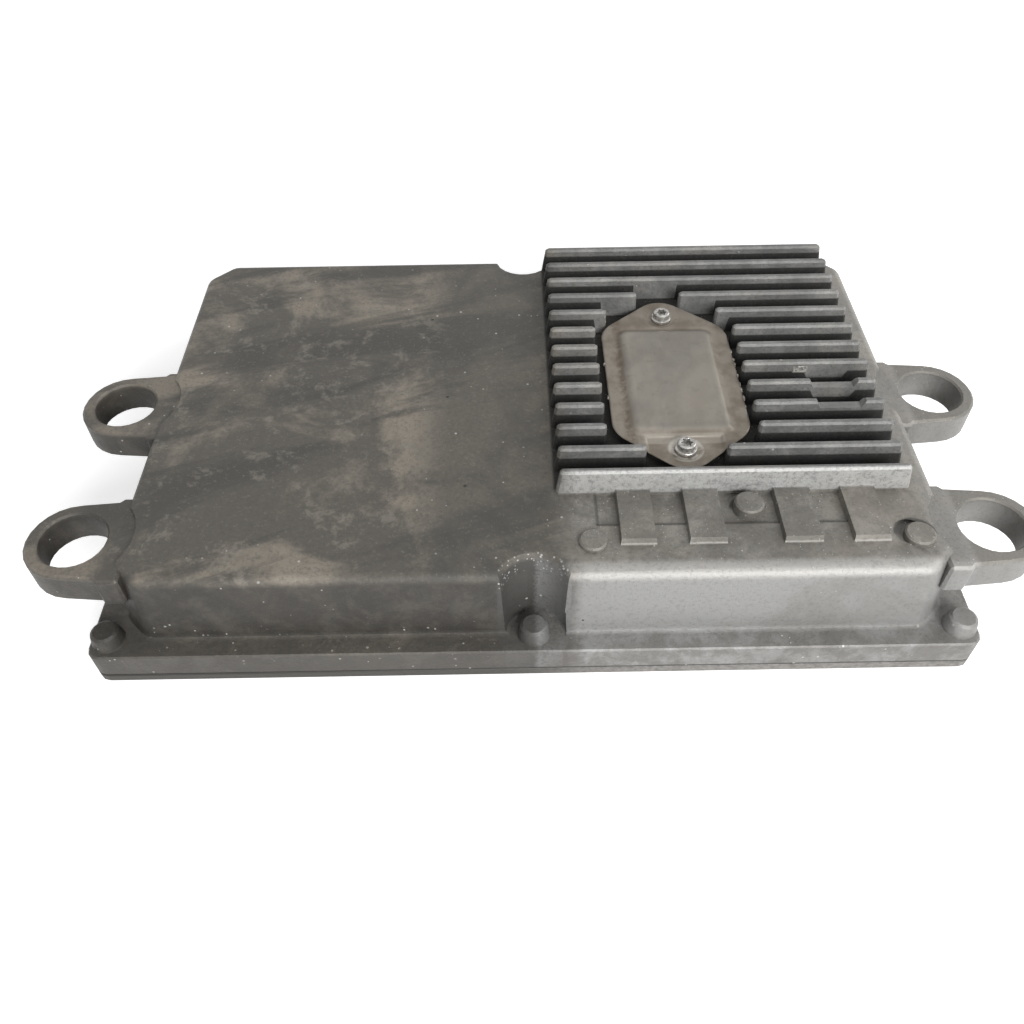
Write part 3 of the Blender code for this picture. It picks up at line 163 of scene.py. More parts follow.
class Finish:
    """A material in the making: its shader, and patterns in the piece's own metres."""

    def __init__(self, name, metallic=0.0):
        self.material = bpy.data.materials.new(name)
        self.material.use_nodes = True
        self.tree = self.material.node_tree
        self.shader = self.tree.nodes["Principled BSDF"]
        self.shader.inputs["Metallic"].default_value = metallic
        self.place = self.node("ShaderNodeTexCoord", out="Object")
        split = self.node("ShaderNodeSeparateXYZ", None, {0: self.place}).socket.node
        self.x, self.y, self.z = (Wire(self, split.outputs[axis]) for axis in range(3))

    def node(self, kind, settings=None, sockets=None, out=0):
        """Add a node, set its settings first and then its sockets, and return one of its outputs."""
        made = self.tree.nodes.new(kind)
        for key, value in (settings or {}).items():
            setattr(made, key, value)
        for key, value in (sockets or {}).items():
            self.feed(made.inputs[key], value)
        return Wire(self, made.outputs[out])

    def feed(self, socket, value):
        """Link a wire to a socket, or set a number or a colour on it."""
        if isinstance(value, Wire):
            self.tree.links.new(value.socket, socket)
        elif isinstance(value, tuple) and len(value) == 3 and len(socket.default_value) == 4:
            socket.default_value = (*value, 1.0)
        else:
            socket.default_value = value

    def blend(self, share, first, second):
        """Colour between two colours."""
        return self.node("ShaderNodeMix", {"data_type": "RGBA"}, {0: share, 6: first, 7: second}, 2)

    def rise(self, value, low, high):
        """Soft step from 0 at low to 1 at high. With low above high it falls instead."""
        return self.node("ShaderNodeMapRange", {"interpolation_type": "SMOOTHSTEP"}, {0: value, 1: low, 2: high})

    def inside(self, value, low, high, soft):
        """1 between two values, with soft ends."""
        return self.rise(value, low - soft, low + soft) * (1.0 - self.rise(value, high - soft, high + soft))

    def size_of(self, value):
        """The value without its sign."""
        return self.node("ShaderNodeMath", {"operation": "ABSOLUTE"}, {0: value})

    def away(self, point, place=None):
        """Distance from a point."""
        return self.node("ShaderNodeVectorMath", {"operation": "DISTANCE"}, {0: place or self.place, 1: point}, 1)

    def laid(self, stretch=(1.0, 1.0, 1.0), turn=0.0, shift=(0.0, 0.0, 0.0)):
        """The piece's coordinates, turned about Z and squeezed, so that a pattern is drawn out."""
        turned = self.node("ShaderNodeMapping", {"vector_type": "POINT"},
                           {"Vector": self.place, "Rotation": (0.0, 0.0, turn)})
        return self.node("ShaderNodeMapping", {"vector_type": "POINT"},
                         {"Vector": turned, "Scale": stretch, "Location": shift})

    def clouds(self, size, detail=3.0, roughness=0.55, place=None, warp=0.0):
        """Noise from 0 to 1 whose lumps are about that size in metres."""
        sockets = {"Vector": place or self.place, "Scale": 1.0 / size, "Detail": detail,
                   "Roughness": roughness, "Distortion": warp}
        return self.node("ShaderNodeTexNoise", None, sockets)

    def dots(self, spacing, size, share, place=None):
        """Round spots of a given size, in a share of the cells that are a spacing wide."""
        sockets = {"Vector": place or self.place, "Scale": 1.0 / spacing, "Randomness": 1.0}
        cells = self.node("ShaderNodeTexVoronoi", None, sockets)
        pick = Wire(self, cells.socket.node.outputs["Color"])
        chosen = self.node("ShaderNodeSeparateXYZ", None, {0: pick})
        grown = Wire(self, chosen.socket.node.outputs[1]) * 0.8 + 0.2
        near = self.rise(cells * (spacing / size) - grown, 0.0, -0.35)
        return near * self.node("ShaderNodeMath", {"operation": "LESS_THAN"}, {0: chosen, 1: share})

    def relief(self, height, depth):
        """Bump from a height between 0 and 1 that stands for a depth in metres."""
        return self.node("ShaderNodeBump", None, {"Height": height, "Distance": depth})

    def paint(self, **sockets):
        """Feed the shader's own sockets, with spaces for underscores, and return the material."""
        for key, value in sockets.items():
            self.feed(self.shader.inputs[key.replace("_", " ")], value)
        return self.material


def softened(name, node, width):
    """Copy of a node's mesh with its loose triangles merged and its corners rounded.

    The rounded strips carry the attribute "rubbed" = 1, so that their paint can be worn paler.
    """
    shape = bmesh.new()
    shape.from_mesh(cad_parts[node].data)
    bmesh.ops.remove_doubles(shape, verts=shape.verts, dist=0.000003)
    bmesh.ops.dissolve_limit(shape, angle_limit=math.radians(0.6), verts=shape.verts, edges=shape.edges)
    mesh = bpy.data.meshes.new(name)
    shape.to_mesh(mesh)
    shape.free()
    mesh.materials.clear()
    mesh.materials.append(None)
    mesh.materials.append(None)
    mesh.shade_smooth()
    piece = bpy.data.objects.new(name, mesh)
    bpy.context.scene.collection.objects.link(piece)
    corners = piece.modifiers.new("corners", "BEVEL")
    corners.width = width
    corners.segments = 2
    corners.limit_method = "ANGLE"
    corners.angle_limit = math.radians(32.0)
    corners.material = 1
    weights = piece.modifiers.new("weights", "WEIGHTED_NORMAL")
    weights.mode, weights.weight, weights.keep_sharp = "FACE_AREA", 60, False
    rounded = bpy.data.meshes.new_from_object(piece.evaluated_get(bpy.context.evaluated_depsgraph_get()))
    piece.modifiers.clear()
    piece.data = rounded
    strips = np.zeros(len(rounded.polygons), np.int32)
    rounded.polygons.foreach_get("material_index", strips)
    rubbed = rounded.attributes.new("rubbed", "FLOAT", "FACE")
    rubbed.data.foreach_set("value", strips.astype(np.float32))
    rounded.polygons.foreach_set("material_index", np.zeros(len(strips), np.int32))
    rounded.materials.clear()
    return piece


lid_z, flange_z, pocket_y = 0.0380, 0.0125, -0.0817
fins_left, fins_right = 0.0070, 0.1165
cast = Finish("cast_aluminium")
streaks = cast.clouds(0.030, 5.0, 0.62, cast.laid((0.20, 1.0, 1.0), math.radians(-20.0)), 0.6)
patches = cast.clouds(0.045, 6.0, 0.68, cast.laid(shift=(0.3, 0.1, 0.0)), 0.4)
blotches = cast.clouds(0.011, 6.0, 0.72, cast.laid(shift=(0.0, 0.4, 0.1)), 0.25)
grain = cast.clouds(0.0011, 4.0, 0.7)
fine = cast.clouds(0.00035, 2.0, 0.6)
wall = 1.0 - cast.rise(cast.z, lid_z - 0.0035, lid_z - 0.0005)
foot = 1.0 - cast.rise(cast.z, flange_z - 0.0005, flange_z + 0.0010)
# The right lid behind its front strip: there the right part's tone is mixed a little with the left part's darker tone.
right_lid = cast.inside(cast.x, 0.006, 0.128, 0.004) * cast.rise(cast.y, -0.078, -0.074)
# clean_and_lit: 1 towards the right, 0 on the left. The right part is cleaner metal and lit; the left part is grimy and
# in painted shadow.
clean_and_lit = cast.rise(cast.x + (cast.clouds(0.020, 4.0, 0.6) - 0.5) * 0.016, 0.004, 0.016) * (1.0 - 0.35 * right_lid)
# Its left part: dark warm grime with painted shadow over it, paler brown patches, darker streaks across and a band of
# painted shadow by the fins.
tone = cast.blend(cast.rise(patches, 0.44, 0.60), (0.086, 0.079, 0.067), (0.225, 0.198, 0.160))
tone = cast.blend(cast.rise(streaks, 0.48, 0.58) * 0.75, tone, (0.043, 0.041, 0.036))
tone = cast.blend(cast.rise(blotches, 0.54, 0.66) * 0.50, tone, (0.245, 0.224, 0.190))
tone = cast.blend(cast.rise(blotches, 0.42, 0.30) * 0.40, tone, (0.070, 0.066, 0.058))
# Painted shadow: a dark band on the lid to the left of the fins.
shadow_band = cast.inside(cast.x, -0.0330, fins_left, 0.0080) * (1.0 - wall)
tone = cast.blend(shadow_band * 0.70, tone, (0.050, 0.048, 0.042))
tone = cast.blend(cast.rise(grain, 0.56, 0.72) * 0.35, tone, (0.26, 0.24, 0.20))
# Its right part: bare grey aluminium, darker on the lid than on the walls and a strip along the lid's front edge, with
# a painted highlight on the first fin's front face.
lid = cast.blend(cast.rise(blotches, 0.40, 0.64), (0.185, 0.176, 0.157), (0.285, 0.274, 0.250))
lid = cast.blend((1.0 - cast.rise(cast.y, -0.0760, -0.0735)) * 0.85, lid, (0.42, 0.41, 0.39))
lid = cast.blend(cast.rise(cast.x, fins_right, fins_right + 0.0025) * 0.75, lid, (0.325, 0.315, 0.292))
side = cast.blend(cast.rise(patches, 0.42, 0.70) * 0.6, (0.290, 0.288, 0.281), (0.190, 0.184, 0.171))
right_part = cast.blend(wall, lid, side)
fin_grey = cast.blend(cast.rise(blotches, 0.40, 0.62), (0.175, 0.179, 0.178), (0.265, 0.268, 0.264))
over_lid = cast.rise(cast.z, lid_z + 0.0003, lid_z + 0.0009)
among_fins = cast.inside(cast.x, fins_left, fins_right, 0.0003) * cast.rise(cast.y, -0.0490, -0.0480) * over_lid
right_part = cast.blend(among_fins, right_part, fin_grey)
# Painted highlight: the first fin's front face, lit full on, painted pale with a patchy mottle.
lit_first_face = among_fins * (1.0 - cast.rise(cast.y, -0.0466, -0.0462))
face_mottle = 0.72 + 0.28 * cast.rise(cast.clouds(0.0022, 5.0, 0.75), 0.34, 0.58)
right_part = cast.blend(lit_first_face * face_mottle, right_part, (0.58, 0.58, 0.57))
ears = cast.rise(cast.size_of(cast.x), 0.1270, 0.1300)
ear_dirt = ears * (0.35 + 0.55 * cast.rise(cast.z, 0.0352, 0.0362))
right_part = cast.blend(ear_dirt, right_part, (0.165, 0.156, 0.138))
tone = cast.blend(clean_and_lit, tone, right_part)
# Its pads' front slopes with painted highlight, the left walls, grimy and in painted shadow, the front pocket with
# painted shade and light, and the flange.
lit_pad_toes = (cast.inside(cast.y, -0.0716, -0.0687, 0.0003) * cast.inside(cast.x, 0.0240, 0.1056, 0.0003)
            * cast.rise(cast.z, lid_z + 0.0001, lid_z + 0.0005))
tone = cast.blend(lit_pad_toes * 0.85, tone, (0.62, 0.61, 0.58))
# The left walls: grime and painted shadow, less on the flange's top.
wall_grime_and_shade = cast.blend(cast.rise(blotches, 0.44, 0.62), (0.031, 0.028, 0.024), (0.058, 0.053, 0.045))
flange_top = cast.inside(cast.z, flange_z - 0.0005, flange_z + 0.0007, 0.0002)
tone = cast.blend((1.0 - clean_and_lit) * wall * (0.92 - 0.40 * flange_top), tone, wall_grime_and_shade)
# Painted shade and light in the front pocket: painted shadow on its left half, painted light on its right half.
in_plan = cast.node("ShaderNodeVectorMath", {"operation": "MULTIPLY"}, {0: cast.place, 1: (1.0, 1.0, 0.0)})
in_pocket = (1.0 - cast.rise(cast.away((0.0, pocket_y, 0.0), in_plan), 0.0106, 0.0112)) * wall
pocket_lit_side = cast.rise(cast.x + (grain - 0.5) * 0.003, -0.0005, 0.0020)
tone = cast.blend(in_pocket * 0.8, tone, cast.blend(pocket_lit_side, (0.064, 0.062, 0.058), (0.185, 0.185, 0.180)))
tone = cast.blend(foot * cast.rise(blotches, 0.60, 0.40) * 0.60, tone, (0.105, 0.097, 0.085))
# Painted shade between its fins, up to about half their height, where each fin shades the next, but not where the next
# fin stops short; the shaded part is also made rougher and less metallic.
from_cover = cast.size_of(cast.x - 0.0490)
open_face = ((1.0 - cast.rise(from_cover + (cast.y - 0.0525) * 1.3, 0.0068, 0.0080))
             * (1.0 - cast.rise(from_cover, 0.0232, 0.0246)) * cast.rise(cast.y, 0.0290, 0.0300))
below_notch = cast.inside(cast.x, 0.0945, 0.1080, 0.0010) * cast.inside(cast.y, -0.0130, 0.0050, 0.0005)
shade_line = (0.0433 + 0.0009 * cast.rise(cast.y, 0.010, 0.050) - 0.0056 * open_face - 0.0026 * below_notch
             + (grain - 0.5) * 0.0004)
between = (cast.inside(cast.x, fins_left, fins_right, 0.0006) * cast.rise(cast.y, -0.0462, -0.0456)
           * (1.0 - cast.rise(cast.y, 0.0735, 0.0750)) * cast.rise(cast.z, lid_z - 0.0010, lid_z - 0.0002))
fin_shade = between * (1.0 - cast.rise(cast.z - shade_line, -0.0003, 0.0004))
tone = cast.blend(fin_shade * 0.95, tone, (0.007, 0.007, 0.0065))


def crescent_shade(x, y, inner, outer):
    """Painted shade in a crescent: between two radii about a point on the lid, on its far side only."""
    around = cast.inside(cast.away((x, y, lid_z)), inner, outer, 0.0004) * cast.rise(cast.y, y - 0.0005, y + 0.0020)
    return around * (1.0 - cast.rise(cast.z, lid_z + 0.0001, lid_z + 0.0006)) * cast.rise(cast.z, 0.0360, 0.0370)


# Painted shade along the edge of the pads' recess and in crescents behind two round bosses, and a dark line in the
# joint to the plate.
recess_front_shade = cast.inside(cast.y, -0.0612, -0.0603, 0.0003) * cast.inside(cast.x, 0.0190, 0.1055, 0.0003)
recess_side_shade = cast.inside(cast.x, 0.0190, 0.0200, 0.0003) * cast.inside(cast.y, -0.0605, -0.0480, 0.0005)
on_lid = (1.0 - cast.rise(cast.z, lid_z + 0.0002, lid_z + 0.0006)) * cast.rise(cast.z, 0.0365, 0.0370)
shade_and_joint = ((recess_front_shade * 0.75 + recess_side_shade * 0.5) * on_lid
         + crescent_shade(0.0655, -0.0549, 0.0043, 0.0057) + crescent_shade(0.1130, -0.0665, 0.0040, 0.0066) * 0.80)
joint = 1.0 - cast.rise(cast.z, 0.0038, 0.0044)
shade_and_joint = cast.node("ShaderNodeMath", {"operation": "MINIMUM"}, {0: shade_and_joint + joint * 0.8, 1: 0.95})
tone = cast.blend(shade_and_joint, tone, (0.030, 0.028, 0.025))
tone = cast.blend(cast.rise(grain, 0.52, 0.34) * (0.42 - 0.20 * clean_and_lit), tone, (0.05, 0.046, 0.041))
# Wear and small marks on it: rubbed corners, the chip in one fin, pale specks, crumbs and pits. Painted highlights too:
# sparkle along the pocket rim and the front edge, and glints on the lid.
rub = cast.node("ShaderNodeAttribute", {"attribute_name": "rubbed", "attribute_type": "GEOMETRY"}, None, "Fac")
rubbing = rub * (0.26 + 0.34 * clean_and_lit) * cast.rise(cast.clouds(0.0022, 4.0, 0.7), 0.42, 0.64) * (1.0 - fin_shade)
tone = cast.blend(rubbing * 0.85, tone, (0.55, 0.545, 0.53))
pocket_rim = cast.away((0.0, pocket_y, 0.0375))
on_rim = cast.inside(pocket_rim, 0.0088, 0.0112, 0.0005)
front_edge = (cast.inside(cast.y, -0.0862, -0.0815, 0.0008) * cast.rise(cast.z, 0.0355, 0.0368)
              * cast.rise(cast.x, 0.008, 0.012))
# Painted highlight: pale sparkle along the pocket rim and the front edge.
sparkle = cast.dots(0.00095, 0.00050, 0.60)
edge_highlight = (on_rim + front_edge * cast.rise(pocket_rim, 0.0088, 0.0095)) * 0.55
tone = cast.blend(sparkle * edge_highlight, tone, (0.66, 0.65, 0.63))
chip = (cast.inside(cast.x, 0.0900, 0.0952, 0.0004) * cast.inside(cast.y, 0.0010, 0.0036, 0.0003)
        * cast.inside(cast.z, 0.0428, 0.0452, 0.0003) * cast.rise(cast.clouds(0.0016, 3.0, 0.6), 0.42, 0.54))
tone = cast.blend(chip * 0.8, tone, (0.45, 0.43, 0.39))
# Painted glints: pale dots over the clean, lit part of the lid.
glints = cast.dots(0.00095, 0.00030, 0.22) * clean_and_lit * (1.0 - wall) * (1.0 - among_fins)
tone = cast.blend(glints * 0.55, tone, (0.60, 0.59, 0.56))
low_front = (cast.inside(cast.z, 0.0100, 0.0200, 0.0015) * (1.0 - cast.rise(cast.y, -0.0800, -0.0780))
             * (1.0 - cast.rise(cast.x, -0.0300, 0.0)) * cast.rise(blotches, 0.44, 0.56))
specks = (cast.dots(0.0022, 0.00055, 0.16) * cast.rise(patches, 0.42, 0.58)
          + cast.dots(0.0018, 0.00050, 0.45, cast.laid(shift=(0.0, 0.9, 0.3))) * low_front)
by_pads = cast.inside(cast.y, -0.0740, -0.0480, 0.002) * cast.inside(cast.x, 0.012, 0.112, 0.002)
crumbs = cast.dots(0.0013, 0.00038, 0.30, cast.laid(shift=(0.7, 0.2, 0.0))) * cast.rise(blotches, 0.44, 0.54) * by_pads
tone = cast.blend((specks + crumbs) * 0.75 * (1.0 - fin_shade), tone, (0.52, 0.50, 0.47))
pits = cast.dots(0.0070, 0.00080, 0.10)
tone = cast.blend(pits * 0.9, tone, (0.010, 0.009, 0.008))
height = (grain * 0.6 + fine * 0.4 + (glints + sparkle * front_edge) * 0.5 + chip * 1.2 - pits * 1.5
          + crumbs * 0.8 + specks * 0.5)
case_finish = cast.paint(Base_Color=tone, Metallic=(0.12 + 0.23 * clean_and_lit) * (1.0 - fin_shade),
                         Roughness=0.40 + 0.22 * grain + 0.35 * fin_shade, Normal=cast.relief(height, 0.00026))
cast_case = softened("cast_case", "upper_case", 0.00045)
cast_case.data.materials.append(case_finish)
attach(cast_case, "root")
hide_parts("upper_case")


# The base plate: a flat aluminium plate under the casting, held by eight countersunk screws.
# Its edge shows as a lighter band below the thin dark joint, darker on the left from dirt and painted shadow.
def give(material, *nodes):
    """Put a material on CAD nodes whose shape is right as it is."""
    for node in nodes:
        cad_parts[node].data.materials[0] = material


plate = Finish("plate_aluminium", metallic=0.35)
scuffs = plate.clouds(0.0016, 5.0, 0.7)
# plate_side: the right of the edge is clean and lit, the left dirty and in painted shadow.
plate_side = plate.rise(plate.x + (plate.clouds(0.02) - 0.5) * 0.02, -0.01, 0.03)
plate_tone = plate.blend(plate_side, (0.055, 0.052, 0.046), (0.24, 0.23, 0.215))
plate_tone = plate.blend(plate.rise(scuffs, 0.35, 0.75) * 0.6, plate_tone, (0.06, 0.056, 0.050))
plate_tone = plate.blend(plate.rise(plate.z, 0.0024, 0.0028) * 0.6, plate_tone, (0.03, 0.028, 0.025))
give(plate.paint(Base_Color=plate_tone, Roughness=0.35 + 0.3 * scuffs, Normal=plate.relief(scuffs, 0.00006)),
     "base_plate")

# The access cover: pressed from thin sheet, with a raised middle, a stepped tab at its front screw
# and a shallow dish round each screw. Its dull, slightly brown plating is worn paler on the raised part.
cover_x, cover_y, cover_top, cover_sheet, cover_roll = 0.0492, 0.0017, 0.04205, 0.00085, 0.00035
lobe_y, lobe_r, slant, side_x, bend_r = 0.0334, 0.0094, math.radians(50.0), 0.0224, 0.0110
bend_x = side_x - bend_r
bend_y = (lobe_y * math.sin(slant) + lobe_r - bend_r - bend_x * math.cos(slant)) / math.sin(slant)
emboss_y, emboss_half_x, emboss_half_y, emboss_corner, emboss_rise = -0.0012, 0.0174, 0.0276, 0.0045, 0.0012
rear_screw_y, front_screw_y = 0.0328, -0.0344


def eased(value):
    """0 below 0, 1 above 1, and 3t^2 - 2t^3 between."""
    value = np.clip(value, 0.0, 1.0)
    return value * value * (3.0 - 2.0 * value)


def box_distance(x, y, half_x, half_y, corner):
    """Distance outside a rounded rectangle about the origin, negative inside it."""
    out_x, out_y = np.abs(x) - half_x + corner, np.abs(y) - half_y + corner
    outside = np.hypot(np.maximum(out_x, 0.0), np.maximum(out_y, 0.0))
    return outside + np.minimum(np.maximum(out_x, out_y), 0.0) - corner


def cover_height(x, y):
    """Height over the flat sheet: the emboss along an S slope with a lip and a valley, minus tab, dishes and dents."""
    edge = box_distance(x, y - emboss_y, emboss_half_x, emboss_half_y, emboss_corner)
    raised = emboss_rise * eased(-edge / 0.0030) + 0.00012 * np.exp(-((edge + 0.0036) / 0.0007) ** 2)
    valley = 0.00022 * np.exp(-((edge - 0.0004) / 0.0009) ** 2) * (1.0 - eased((-0.0262 - y) / 0.002))
    tab = 0.0005 * eased((0.0123 - np.abs(x)) / 0.0005) * eased((-0.0286 - y) / 0.0007)
    dishes = sum(0.0003 * eased((0.0052 - np.hypot(x, y - at)) / 0.0008) for at in (rear_screw_y, front_screw_y))
    dents = sum(0.00025 * np.exp(-((x - dent_x) ** 2 + (y - dent_y) ** 2) / 0.0007 ** 2)
                for dent_x, dent_y in ((-0.0046, -0.0166), (-0.0041, -0.0192)))
    return raised - valley - tab - dishes - dents


def grid_faces(rows, columns):
    """Quads between neighbouring rows and columns of a grid, joined round where the columns end."""
    row, column = np.meshgrid(np.arange(rows - 1), np.arange(columns), indexing="ij")
    after = (column + 1) % columns
    return np.stack([row * columns + column, (row + 1) * columns + column,
                     (row + 1) * columns + after, row * columns + after], 2).reshape(-1, 4)


def shell(name, points, faces, thickness=0.0):
    """Mesh from a grid of points, its doubles merged and normals made to point outwards, with a wall if asked."""
    mesh = bpy.data.meshes.new(name)
    mesh.from_pydata(points.reshape(-1, 3).tolist(), [], faces.tolist())
    made = bmesh.new()
    made.from_mesh(mesh)
    bmesh.ops.remove_doubles(made, verts=made.verts, dist=0.000002)
    bmesh.ops.recalc_face_normals(made, faces=made.faces)
    if thickness and sum(face.normal.z * face.calc_area() for face in made.faces) < 0.0:
        bmesh.ops.reverse_faces(made, faces=made.faces)
    made.to_mesh(mesh)
    made.free()
    piece = bpy.data.objects.new(name, mesh)
    bpy.context.scene.collection.objects.link(piece)
    if thickness:
        inner = piece.modifiers.new("sheet", "SOLIDIFY")
        inner.thickness, inner.offset = thickness, -1.0
        mesh = bpy.data.meshes.new_from_object(piece.evaluated_get(bpy.context.evaluated_depsgraph_get()))
        piece.modifiers.clear()
        piece.data = mesh
    mesh.shade_smooth()
    return piece


# Its rim is the edge of the smallest convex shape round six discs: for each direction, the disc that
# reaches furthest. Rings run from the spine, a line along its middle, out to the rim.
samples = 145
angles = np.linspace(-0.5 * np.pi, 0.5 * np.pi, samples)
facing = np.stack([np.cos(angles), np.sin(angles)], 1)
discs = np.array([(0.0, -lobe_y, lobe_r), (bend_x, -bend_y, bend_r), (bend_x, bend_y, bend_r), (0.0, lobe_y, lobe_r)])
furthest = discs[np.argmax(facing @ discs[:, :2].T + discs[:, 2], 1)]
half_rim = furthest[:, :2] + facing * furthest[:, 2:3]
along = np.concatenate([[0.0], np.cumsum(np.linalg.norm(np.diff(half_rim, axis=0), axis=1))])
even = np.linspace(0.0, along[-1], samples)
half_rim = np.stack([np.interp(even, along, half_rim[:, axis]) for axis in range(2)], 1)
half_rim[[0, -1], 0] = 0.0
rim = np.concatenate([half_rim, half_rim[-2:0:-1] * (-1.0, 1.0)])
spine = np.stack([np.zeros(len(rim)), np.clip(rim[:, 1], -0.026, 0.026)], 1)
shares = np.concatenate([np.linspace(0.0, 0.97, 74), [0.985, 0.995, 1.0]])
sheet = spine[None] + (rim - spine)[None] * shares[:, None, None]
rolled = cover_roll * np.clip((shares - 0.97) / 0.03, 0.0, 1.0)[:, None] ** 2
level = cover_top + cover_height(sheet[..., 0], sheet[..., 1]) - rolled
points = np.concatenate([sheet + (cover_x, cover_y), level[..., None]], 2)
pressed_cover = shell("pressed_cover", points, grid_faces(len(shares), len(rim)), cover_sheet)

pressed = Finish("pressed_steel", metallic=0.45)
brush = pressed.clouds(0.0006, 3.0, 0.6, pressed.laid((1.0, 0.15, 1.0)))
mottle = pressed.clouds(0.0040, 5.0, 0.7)
stain = pressed.rise(pressed.clouds(0.010, 5.0, 0.6), 0.40, 0.62)
cover_tone = pressed.blend(stain, (0.230, 0.205, 0.172), (0.160, 0.136, 0.106))
worn = pressed.rise(pressed.clouds(0.016, 4.0, 0.6, pressed.laid((1.0, 0.5, 1.0), 0.3, (0.2, 0.0, 0.0))), 0.38, 0.62)
on_top = pressed.rise(pressed.z, cover_top + 0.00045, cover_top + 0.00115)
top_tone = pressed.blend(worn, (0.265, 0.245, 0.210), (0.195, 0.187, 0.168))
cover_tone = pressed.blend(on_top * 0.70, cover_tone, top_tone)
# Painted highlight on the front-facing slopes by the tab.
lit_tab_slope = pressed.inside(pressed.y, -0.0302, -0.0262, 0.0004) * pressed.inside(pressed.x, 0.0362, 0.0622, 0.0008)
cover_tone = pressed.blend(lit_tab_slope * 0.40, cover_tone, (0.40, 0.375, 0.33))
from_screw = pressed.away((cover_x, cover_y + front_screw_y, cover_top - 0.00055))
polish = pressed.inside(from_screw, 0.0036, 0.0056, 0.0005) * pressed.rise(mottle, 0.36, 0.52)
cover_tone = pressed.blend(polish * 0.7, cover_tone, (0.46, 0.44, 0.40))
# Painted shade in the valley and lower slope along the raised middle's left side.
left_valley_shade = (pressed.inside(pressed.x, 0.0308, 0.0340, 0.0010) * pressed.rise(mottle, 0.40, 0.60)
               * (1.0 - pressed.rise(pressed.z, cover_top + 0.00005, cover_top + 0.00085)))
cover_tone = pressed.blend(left_valley_shade * 0.7, cover_tone, (0.10, 0.074, 0.050))
cover_tone = pressed.blend(pressed.rise(mottle, 0.55, 0.75) * 0.35, cover_tone, (0.11, 0.095, 0.075))
cover_pits = pressed.dots(0.0060, 0.0005, 0.16)
cover_tone = pressed.blend(cover_pits * 0.8, cover_tone, (0.05, 0.04, 0.03))
pressed_cover.data.materials.clear()
pressed_cover.data.materials.append(pressed.paint(
    Base_Color=cover_tone, Roughness=0.34 + 0.22 * brush,
    Normal=pressed.relief(brush * 0.5 + mottle * 0.5 - cover_pits, 0.00005)))
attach(pressed_cover, "root")
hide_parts("access_cover")

# The cover's two cap screws: turned steel heads with a collar at the foot and a six-lobed drive
# sunk in the top, threaded into the casting through the cover.
bare_steel = Finish("bare_steel", metallic=0.8)
tarnish = bare_steel.clouds(0.0012, 4.0, 0.7)
steel_tone = bare_steel.blend(bare_steel.rise(tarnish, 0.35, 0.72), (0.50, 0.49, 0.47), (0.20, 0.19, 0.175))
steel_finish = bare_steel.paint(Base_Color=steel_tone, Roughness=0.24 + 0.25 * tarnish,
                                Normal=bare_steel.relief(tarnish, 0.00003))


def cap_screw(name, node):
    """Profile of radius and height turned about the screw's axis; the socket's radius adds 0.27 mm times cos 6a."""
    low, high = (np.array(corner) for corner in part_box(node))
    middle, top = 0.5 * (low + high)[:2], high[2]
    head = np.array([(0.0, low[2]), (0.0019, low[2]), (0.0019, top - 0.0032), (0.0033, top - 0.0032),
                     (0.0035, top - 0.0030), (0.0035, top - 0.0023), (0.0033, top - 0.0021),
                     (0.00295, top - 0.00205), (0.0029, top - 0.0018), (0.0029, top - 0.0006),
                     (0.0028, top - 0.0003), (0.0025, top - 0.00005), (0.0022, top)])
    socket = np.array([(0.00175, top), (0.00160, top - 0.00012), (0.00155, top - 0.0019), (0.0, top - 0.0022)])
    around = np.linspace(0.0, 2.0 * np.pi, 96, endpoint=False)
    lobes = 0.00027 * np.cos(6.0 * around)[None] * (socket[:, :1] > 0.0)
    radius = np.concatenate([head[:, :1] + np.zeros(96), socket[:, :1] + lobes])
    height = np.concatenate([head[:, 1], socket[:, 1]])[:, None] + np.zeros(96)
    made = np.stack([middle[0] + radius * np.cos(around), middle[1] + radius * np.sin(around), height], 2)
    piece = shell(name, made, grid_faces(len(made), 96))
    piece.data.set_sharp_from_angle(angle=math.radians(30.0))
    piece.data.materials.append(steel_finish)
    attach(piece, "root")
    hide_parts(node)


cap_screw("cap_screw_rear", "cover_screw_rear")
cap_screw("cap_screw_front", "cover_screw_front")

# Gasket scraps: crumbs of the cover's dried-out seal, squeezed out and stuck along its edge.
# Each is a small torn lump of pale compound against the sheet: a ball, stretched and waved by a sine.
dried = Finish("dried_compound")
crumble = dried.clouds(0.0006, 3.0, 0.7)
dried_tone = dried.blend(dried.rise(crumble, 0.35, 0.65), (0.42, 0.40, 0.35), (0.17, 0.15, 0.125))
dried_finish = dried.paint(Base_Color=dried_tone, Roughness=0.55 + 0.3 * crumble, Normal=dried.relief(crumble, 0.00015))
dice = np.random.default_rng(7)
spots = np.array([(22.45, 14.0), (22.5, 9.5), (22.5, 6.8), (22.45, 1.0), (22.5, -3.5), (22.5, -6.2), (22.5, -10.5),
                  (22.4, -14.5), (16.9, 28.3), (19.6, 25.2), (21.4, 22.0), (-22.45, -9.0), (-22.45, 8.0),
                  (-17.6, 27.6)]) * 0.001
rings, wedges, count = 9, 12, len(spots)
down, round_it = np.linspace(0.0, np.pi, rings)[:, None], np.linspace(0.0, 2.0 * np.pi, wedges, endpoint=False)
ball = np.stack([np.sin(down) * np.cos(round_it), np.sin(down) * np.sin(round_it),
                 np.cos(down) + np.zeros(wedges)], 2)
sizes = dice.uniform((0.00035, 0.0006, 0.0004), (0.00055, 0.0012, 0.0007), (count, 3))
bumps = 1.0 + 0.25 * np.sin(ball @ dice.normal(size=(3, count)) * 3.0 + dice.uniform(0.0, 6.0, count))
middles = np.concatenate([spots + (cover_x, cover_y), np.full((count, 1), cover_top - 0.0007)], 1)
